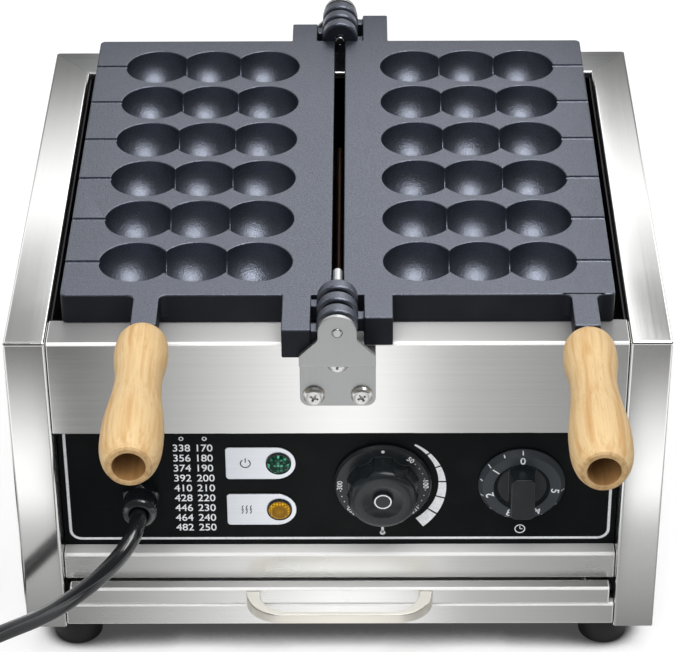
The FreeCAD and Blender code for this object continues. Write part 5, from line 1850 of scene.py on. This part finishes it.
@dataclass
class ThermostatKnob(DialKnob):
    """Lobed knob on a wide scale skirt."""

    skirt: float = 26.0
    skirt_rise: float = 2.6
    base: float = 19.5
    top: float = 18.0
    height: float = 16.5
    lobes: int = 6
    lobe: float = 9.0
    lobe_depth: float = 2.2
    shoulder: float = 4.5
    dish: float = 22.0
    dish_lift: float = 0.87
    cap: float = 5.0
    cap_sink: float = 0.6
    cap_root: float = 8.0
    figure: float = 2.8
    figures: int = 6
    figure_ring: float = 22.8
    dot: float = 0.32
    dot_ring: float = 22.6
    dots: int = 5
    first_angle: float = 40.0
    figure_step: float = 46.4
    pointer: float = 0.9

    def body(self) -> Shape:
        """Skirt and lobed grip with its dished front.

        Returns:
            The knob.
        """
        rise, skirt, height = self.skirt_rise, self.skirt, self.height
        section = [(0, 0, 0), (0, skirt, 0.3), (0.9, skirt, 0.4), (rise, skirt - 1.2, 0.3),
                   (rise, self.base, 0.5), (height, self.top, self.shoulder), (height, 0, 0)]
        knob = Shape.turned(section, self.at(0), steps=96)
        hollows = Shape()
        reach = self.base + self.lobe - self.lobe_depth
        low, high = self.back - rise - 0.01, self.back - height - 1
        for i in range(self.lobes):
            angle = math.tau * (i + 0.5) / self.lobes
            x, z = self.x + reach * math.sin(angle), self.z + reach * math.cos(angle)
            hollows.join(Shape.rod(self.lobe, (x, low, z), (x, high, z), 0, 72))
        knob.carve(hollows, Cut.TAKE)
        ball, middle = Shape(), Matrix.Translation(self.at(height + self.dish * self.dish_lift))
        bmesh.ops.create_uvsphere(ball.bm, u_segments=96, v_segments=48, radius=self.dish, matrix=middle)
        return knob.carve(ball, Cut.TAKE)

    def prints(self) -> None:
        """Scale of the skirt, figures with dots between them, and the ring on the cap."""
        face = self.skirt_rise
        marks = Shape()
        for i in range(self.figures):
            figure = Shape.lettering(str(50 * (i + 1)), self.figure)
            marks.join(self.on_ring(figure, self.figure_ring, self.first_angle + self.figure_step * i, face))
        for i in range(self.dots * (self.figures - 1)):
            if i % self.dots:
                angle = self.first_angle + self.figure_step * i / self.dots
                marks.join(self.on_ring(Shape.sector(0, self.dot), self.dot_ring, angle, face))
        marks.join(self.on_ring(Shape.sector(0, self.pointer), self.figure_ring, 0, face))
        marks.settle("thermostat_scale", Body.THERMOSTAT, WHITE_INK)
        ring = Shape.sector(3.9, 4.6).put(*self.at(self.height - self.cap_sink))
        ring.settle("thermostat_cap_ring", Body.THERMOSTAT, WHITE_INK)

    def build(self) -> None:
        """Build the thermostat knob."""
        self.body().settle("lobed_thermostat_knob", Body.THERMOSTAT, KNOB_BLACK, ["thermostat_knob"], 0.45, 3)
        root, top = self.cap_root, self.height - self.cap_sink
        cap = Shape.turned([(root, 0, 0), (root, self.cap, 0), (top, self.cap, 0.5), (top, 0, 0)], self.at(0))
        cap.settle("thermostat_cap", Body.THERMOSTAT, KNOB_BLACK)
        self.prints()


@dataclass
class TimerKnob(DialKnob):
    """Dial skirt with a sunk middle and a bar to turn it by."""

    skirt: float = 23.0
    skirt_top: float = 20.5
    skirt_rise: float = 4.0
    boss: float = 13.5
    boss_rise: float = 2.4
    bar_half: float = 6.7
    bar_reach: float = 13.0
    bar_rise: float = 15.0
    bar_corner: float = 3.3
    bar_taper: float = 0.95
    rim: float = 0.8
    figure: float = 4.2
    figures: int = 6
    figure_ring: float = 17.6
    figure_step: float = 52.7
    tick_half: float = 0.28
    tick_reach: tuple[float, float] = (1.3, 0.9)

    def body(self) -> Shape:
        """Skirt, sunk middle and bar.

        Returns:
            The knob.
        """
        rise, sunk, boss = self.skirt_rise, self.boss_rise, self.boss
        section = [(0, 0, 0), (0, self.skirt, 0.3), (self.rim, self.skirt, 0.3), (rise, self.skirt_top, 0.6),
                   (rise, boss + 1.6, 0.8), (sunk, boss - 0.6, 0.8), (sunk, 0, 0)]
        knob = Shape.turned(section, self.at(0), steps=96)
        half, reach = self.bar_half, self.bar_reach
        outline = [(self.x + across * half, self.z + along * reach, self.bar_corner)
                   for across, along in ((-1, -1), (1, -1), (1, 1), (-1, 1))]
        bar = Shape.prism(outline, Plane.XZ, self.back - 1, self.back - self.bar_rise)
        for vert in bar.bm.verts:
            if vert.co.y < self.back - 2:
                vert.co.x = self.x + (vert.co.x - self.x) * self.bar_taper
        return knob.carve(bar, Cut.ADD)

    def prints(self) -> None:
        """Figures round the skirt, with ticks."""
        marks = Shape()
        for i in range(self.figures):
            figure = Shape.lettering(str(i), self.figure)
            marks.join(self.on_ring(figure, self.figure_ring, -self.figure_step * i, self.skirt_rise))
        marks.settle("timer_scale", Body.TIMER, WHITE_INK)
        slope = math.atan2(self.skirt_rise - self.rim, self.skirt - self.skirt_top)
        ring, depth = (self.skirt + self.skirt_top) / 2, (self.skirt_rise + self.rim) / 2
        ticks, half = Shape(), self.tick_half
        for i in range(2 * self.figures - 1):
            reach = self.tick_reach[i % 2]
            tick = Shape.block((-half, -0.08, -reach), (half, 0.02, reach))
            tick.moved(Matrix.Rotation(-slope, 4, "X"))
            ticks.join(self.on_ring(tick, ring, -self.figure_step / 2 * i, depth))
        ticks.settle("timer_ticks", Body.TIMER, WHITE_INK)

    def build(self) -> None:
        """Build the timer knob."""
        # painted light: the skirt takes the lighter grey; the bar and sunk middle keep the plain knob black
        knob = self.body().settle("barred_timer_knob", Body.TIMER, DIAL_BLACK_PAINTED_LIT, ["timer_knob"], 0.7, 3)
        bar_back = self.back - self.skirt_rise - 0.2

        def is_dark(face: bpy.types.MeshPolygon) -> bool:
            """Faces of the sunk middle and of the bar."""
            x, y, z = face.center / MM
            return math.hypot(x - self.x, z - self.z) < self.boss + 0.6 or y < bar_back

        repaint(knob, KNOB_BLACK, is_dark)
        self.prints()


@dataclass
class CrumbTray:
    """Sliding tray with its cast bow handle."""

    front: float = -102.0
    half_width: float = 50.0
    reach: float = 20.4
    bar: float = 3.2
    leg: float = 7.4
    middle_z: float = 40.9
    root: float = 8.2
    bar_height: float = 6.0
    sweep: float = 19.0

    def handle(self) -> Shape:
        """Broad legs that sweep into a slim bar.

        Returns:
            The handle.
        """
        w, y0, y1 = self.half_width, self.front, self.front - self.reach
        outer = [(-w, y0, 0), (-w, y1, self.sweep), (w, y1, self.sweep), (w, y0, 0)]
        gap_w, gap_y, bend = w - self.leg, y1 + self.bar, self.sweep - self.leg / 2
        gap = [(-gap_w, y0 + 1, 0), (-gap_w, gap_y, bend), (gap_w, gap_y, bend), (gap_w, y0 + 1, 0)]
        low, high = self.middle_z - self.root, self.middle_z + self.root
        bow = Shape.prism(outer, Plane.XY, low, high)
        bow.carve(Shape.prism(gap, Plane.XY, low - 1, high + 1), Cut.TAKE)
        top, rear, fore = self.middle_z + self.root / 2, y0 + 0.5, y1 - 1
        side = [(rear, top - self.root, 0), (fore, top - self.bar_height, 0), (fore, top, 0), (rear, top, 0)]
        return bow.carve(Shape.prism(side, Plane.YZ, -w - 1, w + 1), Cut.KEEP)

    def build(self) -> None:
        """Build the tray."""
        dress("crumb_tray", STAINLESS_LOW, 0.7, TRAY_LEDGE_PAINTED_SHEEN)
        dress("tray_handle_screws", ZINC)
        handle = self.handle().settle("cast_tray_handle", Body.TRAY, CAST_ALLOY, ["tray_handle"], 0.9, 3)
        # painted light: faces that look up take a lighter copy of the alloy
        repaint(handle, ALLOY_PAINTED_LIT_TOP, lambda face: face.normal.z > 0.6)


@dataclass
class HeatingElements:
    """Tubular heaters with their bushes and the thermostat's bulb and capillary."""

    radius: float = 4.2
    z: float = 185.0
    inner_x: float = 26.0
    pitch: float = 31.5
    runs: int = 4
    front: float = -71.1
    turn_front: float = -59.1
    turn_rear: float = 162.7
    tail: float = 48.0
    bend: float = 12.0

    def line(self) -> list[Vector]:
        """Middle line of the left heater.

        Returns:
            Points along the line, in order.
        """
        xs = [-self.inner_x - i * self.pitch for i in range(self.runs)]
        points = [(xs[0], self.front, self.z - self.tail), (xs[0], self.front, self.z)]
        radii = [0.0, self.bend]
        for i in range(self.runs - 1):
            y = self.turn_rear if i % 2 == 0 else self.turn_front
            points += [(xs[i], y, self.z), (xs[i + 1], y, self.z)]
            radii += [self.pitch / 2 - TINY] * 2
        points += [(xs[-1], self.front, self.z), (xs[-1], self.front, self.z - self.tail)]
        return rounded_line(points, radii + [self.bend, 0.0])

    def build(self) -> None:
        """Build both heaters and dress what goes with them."""
        for side, flip in (("left", 1), ("right", -1)):
            line = [Vector((p.x * flip, p.y, p.z)) for p in self.line()]
            tube = Shape.tube(line, self.radius)
            tube.settle(f"tubular_{side}_heater", Body.CHASSIS, SHEATH, [f"{side}_heater"])
        dress("heater_bushes", CERAMIC, 0.4)
        dress("thermostat_probe", COPPER, 0.0)


@dataclass
class MainsLead:
    """Free lead, its tied coil and its plug."""

    diameter: float = 9.0
    exit: tuple[float, float, float] = (-105.3, -104.0, 97.0)
    free: Route = (
        (-105.3, -96.5, 97.0), (-105.3, -113.6, 97.0), (-112.2, -128.4, 91.9), (-124.0, -137.0, 82.9),
        (-139.0, -138.0, 69.5), (-156.0, -133.0, 53.0), (-177.0, -123.5, 35.5), (-202.0, -116.5, 17.0),
        (-228.0, -113.0, 5.6), (-252.0, -113.0, 5.6))
    tail: Route = (
        (-319.6, -45.4, 15.2), (-319.6, -31.4, 15.2), (-323.5, -16.5, 13.0), (-330.0, -3.0, 13.0))
    coil_middle: tuple[float, float, float] = (-261.0, -54.39, 5.6)
    coil_inner: float = 39.0
    coil_step: float = 11.4
    coil_growth: float = 1.72
    coil_layer: float = 9.6
    coil_turns: float = 4.25
    coil_climb: float = 0.5
    points_per_turn: int = 24

    def coil_point(self, turn: float) -> tuple[float, float, float]:
        """Middle of the lead after so many turns: in on the floor, up a layer and out again.

        Args:
            turn: turns from the coil's start.

        Returns:
            The point.
        """
        past = abs(turn - self.coil_turns / 2) - self.coil_climb / 2
        radius = self.coil_inner + self.coil_step * min(max(past, 0.0), self.coil_growth)
        climb = min(max((turn - self.coil_turns / 2) / self.coil_climb + 0.5, 0.0), 1.0)
        x, y, z = self.coil_middle
        angle = -math.pi / 2 - math.tau * turn
        return (x + radius * math.cos(angle), y + radius * math.sin(angle),
                z + self.coil_layer * climb * climb * (3 - 2 * climb))

    def spline(self) -> bpy.types.Object:
        """The lead as one smooth spline, route, coil and tail.

        Returns:
            The lead.
        """
        count = round(self.coil_turns * self.points_per_turn)
        coil = [self.coil_point(i * self.coil_turns / count) for i in range(count + 1)]
        points = [Vector(point) * MM for point in (*self.free, *coil, *self.tail)]
        data = curve_of("mains_lead", points, "NURBS", self.diameter / 2 * MM)
        data.resolution_u = ARC_STEPS
        data.splines[0].order_u = 3
        data.splines[0].use_endpoint_u = True
        data.materials.append(CORD_BLACK.material())
        return placed("mains_lead", data)

    def build(self) -> None:
        """Build the lead and dress its plug and tie."""
        lead = self.spline()
        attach(lead, Body.CHASSIS.value)
        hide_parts("power_cord", "cord_coil", "cord_tail")
        plug = dress("power_plug", CORD_BLACK, 0.6)
        prongs = dress("plug_prongs", BRASS)
        tie = dress("cord_tie", RUBBER, 0.15)
        tuple(c * MM for c in self.exit)
        LOG.info("mains_lead: one spline on %s", Body.CHASSIS.value)


@dataclass(frozen=True)
class Softbox:
    """A square lamp that faces the appliance, placed in metres."""

    name: str
    place: tuple[float, float, float]
    size: float
    power: float
    kind: Lamp

    def build(self, aim: Sequence[float]) -> None:
        """Hang the lamp so that it looks at a point.

        Args:
            aim: the point.
        """
        data = bpy.data.lights.new(self.name, "AREA")
        data.shape, data.size, data.energy = "SQUARE", self.size, self.power
        made = placed(self.name, data)
        made.location = self.place
        made.rotation_euler = (Vector(aim) - Vector(self.place)).to_track_quat("-Z", "Y").to_euler()
        made.visible_camera = False
        setattr(made, self.kind.value, False)


@dataclass
class Studio:
    """White sweep, soft lights, reflected cards and the camera, in metres."""

    camera_place: tuple[float, float, float] = (0.0116, -1.2509, 0.9887)
    camera_tilt: float = 56.092
    camera_yaw: float = 0.525
    camera_roll: float = -0.436
    lens: float = 145.96
    floor_half: float = 6.0
    floor_pale: float = 0.5
    floor_lift: float = 0.6
    shade_reach: float = 0.045
    shade: float = 0.09
    ambient: float = 0.5
    aim: tuple[float, float, float] = (0.0, 0.0, 0.15)
    lamps: tuple[Softbox, ...] = (
        Softbox("top_softbox", (0.15, -0.35, 1.75), 1.2, 17.0, Lamp.FORM),
        Softbox("front_softbox", (-0.5, -1.4, 1.4), 1.2, 13.0, Lamp.FORM),
        Softbox("sparkle_softbox", (0.36, -0.15, 1.65), 1.1, 23.0, Lamp.SPARKLE))
    strip_x: float = 0.24
    strip_lean: float = 0.1935
    rear_level: float = 0.28

    def camera(self) -> None:
        """The camera at the photograph's viewing angle."""
        data = bpy.data.cameras.new("camera")
        data.lens, data.sensor_width = self.lens, 36.0
        data.clip_start, data.clip_end = 0.05, 50.0
        made = placed("camera", data)
        made.location = self.camera_place
        turns = ((self.camera_yaw, "Z"), (self.camera_tilt, "X"), (self.camera_roll, "Z"))
        yaw, tilt, roll = (Matrix.Rotation(math.radians(angle), 3, axis) for angle, axis in turns)
        made.rotation_euler = (yaw @ tilt @ roll).to_euler()
        bpy.context.scene.camera = made

    def sheet(self, name: str, place: Matrix, surface: Callable[[Shader], Link]) -> bpy.types.Object:
        """Stage a flat sheet with its own material.

        Args:
            name: name of the sheet and of its material.
            place: what turns a level square from -1 to 1 into the sheet.
            surface: lays the material's nodes.

        Returns:
            The sheet.
        """
        bm = bmesh.new()
        bmesh.ops.create_grid(bm, x_segments=1, y_segments=1, size=1.0, matrix=place)
        mesh = bpy.data.meshes.new(name)
        bm.to_mesh(mesh)
        bm.free()
        material = bpy.data.materials.new(name)
        material.use_nodes = True
        shader = Shader(material.node_tree)
        shader.node("ShaderNodeOutputMaterial", inputs={"Surface": surface(shader)})
        mesh.materials.append(material)
        made = placed(name, mesh)
        return made

    def seen(self, shader: Shader) -> Link:
        """Whether a ray shows the background: from the camera, or by reflection or through glass.

        Args:
            shader: the node tree.

        Returns:
            1 where it shows it, or 0.
        """
        kinds = ("Is Camera Ray", "Is Glossy Ray", "Is Transmission Ray")
        camera, glossy, clear = (shader.node("ShaderNodeLightPath", output=kind) for kind in kinds)
        return camera.math("MINIMUM", camera + glossy + clear, 1.0)

    def floor_surface(self, shader: Shader) -> Link:
        """White where the floor lies open, dark in the shadow close to the appliance.

        Args:
            shader: the node tree.

        Returns:
            The surface.
        """
        reach = {"Distance": self.shade_reach}
        open_sky = shader.node("ShaderNodeAmbientOcclusion", {"samples": 32}, reach, "AO")
        clear = self.shade + open_sky.ramp(0.3, 0.53) * (1 - self.shade)
        pale = shader.mix(clear, (0, 0, 0, 1), (self.floor_pale,) * 3 + (1,))
        matt = shader.node("ShaderNodeBsdfDiffuse", inputs={"Color": pale})
        away = shader.node("ShaderNodeVectorMath", {"operation": "LENGTH"}, {0: shader.place()}, "Value")
        white = self.seen(shader) * clear * (self.floor_lift + away.ramp(0.7, 2.0) * (1 - self.floor_lift))
        lift = shader.node("ShaderNodeEmission", inputs={"Strength": white})
        return shader.node("ShaderNodeAddShader", inputs={0: matt, 1: lift})

    def world(self) -> None:
        """Soft even light, with a white background where it shows."""
        world = bpy.data.worlds.new("studio")
        bpy.context.scene.world = world
        world.use_nodes = True
        shader = Shader(world.node_tree)
        side, back, height = shader.axes(shader.node("ShaderNodeTexCoord", output="Generated"))
        wall = back.ramp(0.2, 0.6) * (1 - height.ramp(0.66, 0.9)) * (0.89 + side.ramp(-0.07, 0.1) * 0.95)
        room = 0.12 + back.ramp(-0.3, 0.2) * 0.28 + wall * height.ramp(0.05, 0.4)
        glow = room.math("MAXIMUM", room, shader.node("ShaderNodeLightPath", output="Is Camera Ray"))
        light, show = (shader.node("ShaderNodeBackground", inputs={"Color": WHITE, "Strength": level})
                       for level in (self.ambient, glow))
        mixed = shader.node("ShaderNodeMixShader", inputs={0: self.seen(shader), 1: light, 2: show})
        shader.node("ShaderNodeOutputWorld", inputs={"Surface": mixed})

    def card(self, name: str, place: Sequence[float], size: tuple[float, float],
             glow: Callable[[Shader], Link | float], upright: bool = False, lean: float = 0.0) -> None:
        """A graded card that only shows in reflections.

        Args:
            name: its name.
            place: its middle.
            size: its width and its depth or height.
            glow: lays the nodes of its brightness.
            upright: whether it stands instead of lying.
            lean: how far it shifts in x for its height.
        """
        turn = Matrix.Rotation(math.pi / 2, 4, "X") if upright else Matrix()
        skew = Matrix.Shear("XY", 4, (lean, 0.0))
        extent = Matrix.Diagonal((size[0] / 2, size[1] / 2, 1.0, 1.0))
        made = self.sheet(name, Matrix.Translation(place) @ skew @ turn @ extent, lambda shader: shader.node(
            "ShaderNodeEmission", inputs={"Strength": glow(shader)}))
        made.visible_camera = made.visible_diffuse = made.visible_shadow = made.visible_transmission = False

    def front_glow(self, shader: Shader) -> Link:
        """Floor card before the fronts: bright in the middle, a bright bar at each side.

        Args:
            shader: the node tree.

        Returns:
            The brightness.
        """
        x, y, _ = shader.axes(shader.place())
        left = 0.11 + x.slope(-0.2, -0.005) ** 1.4 * 1.06
        right = 1.15 - x.ramp(0.012, 0.075) * 0.58 - x.slope(0.06, 0.19) * 0.34
        middle = left.math("MINIMUM", left, right)
        widen = 1 + (-0.102 - y) * 0.923
        off = x.math("DIVIDE", x.math("ABSOLUTE", x), widen)
        bar = 0.16 + y.ramp(-0.41, -0.262) * 1.14 - y.ramp(-0.25, -0.205) * 0.7 - y.slope(-0.21, -0.12) * 0.34
        return middle + (bar - middle) * off.ramp(0.1455, 0.1505)

    def strip_glow(self, shader: Shader) -> Link:
        """Card behind a side strip: a bright bar with a soft upper and lower edge."""
        z = shader.axes(shader.place())[2]
        return 0.17 + z.ramp(0.25, 0.375) * 1.22 - z.ramp(0.362, 0.425) * 0.85 - z.ramp(0.41, 0.47) * 0.32

    def build(self) -> None:
        """Set the stage."""
        bpy.context.scene.view_settings.view_transform = "Standard"
        self.camera()
        self.sheet("floor", Matrix.Diagonal((self.floor_half, self.floor_half, 1.0, 1.0)), self.floor_surface)
        self.world()
        for lamp in self.lamps:
            lamp.build(self.aim)
        self.card("front_card", (0.0, -0.4465, 0.002), (1.0, 0.687), self.front_glow)
        self.card("rear_card", (0.0, 0.3, 0.264), (0.34, 0.04), lambda _: self.rear_level, True)
        for side in (-1, 1):
            place, lean = (side * self.strip_x, 0.299, 0.36), side * self.strip_lean
            self.card(f"strip_card_{side + 2}", place, (0.13, 0.3), self.strip_glow, True, lean)


def main() -> None:
    """Build the appliance piece by piece, then its studio."""
    logging.basicConfig(level=logging.INFO, format="%(message)s")
    hinge, plates, controls = HingeSizes(), MouldPlate(), ControlFace()
    parts: list[Callable[[], None]] = [
        MainsLead().build,
        SteelBody().build,
        lambda: plates.build(hinge),
        lambda: PivotBracket().build(hinge),
        WoodenHandle("left", Body.LEFT_PLATE, *plates.bar_end(plates.left_bar, hinge), 1.5).build,
        WoodenHandle("right", Body.RIGHT_PLATE, *plates.bar_end(plates.right_bar, hinge), 4.0).build,
        controls.build,
        ThermostatKnob(*controls.thermostat).build,
        TimerKnob(*controls.timer).build,
        CrumbTray().build,
        HeatingElements().build,
        Studio().build,
    ]
    for build in parts:
        build()


if __name__ == "__main__":
    main()
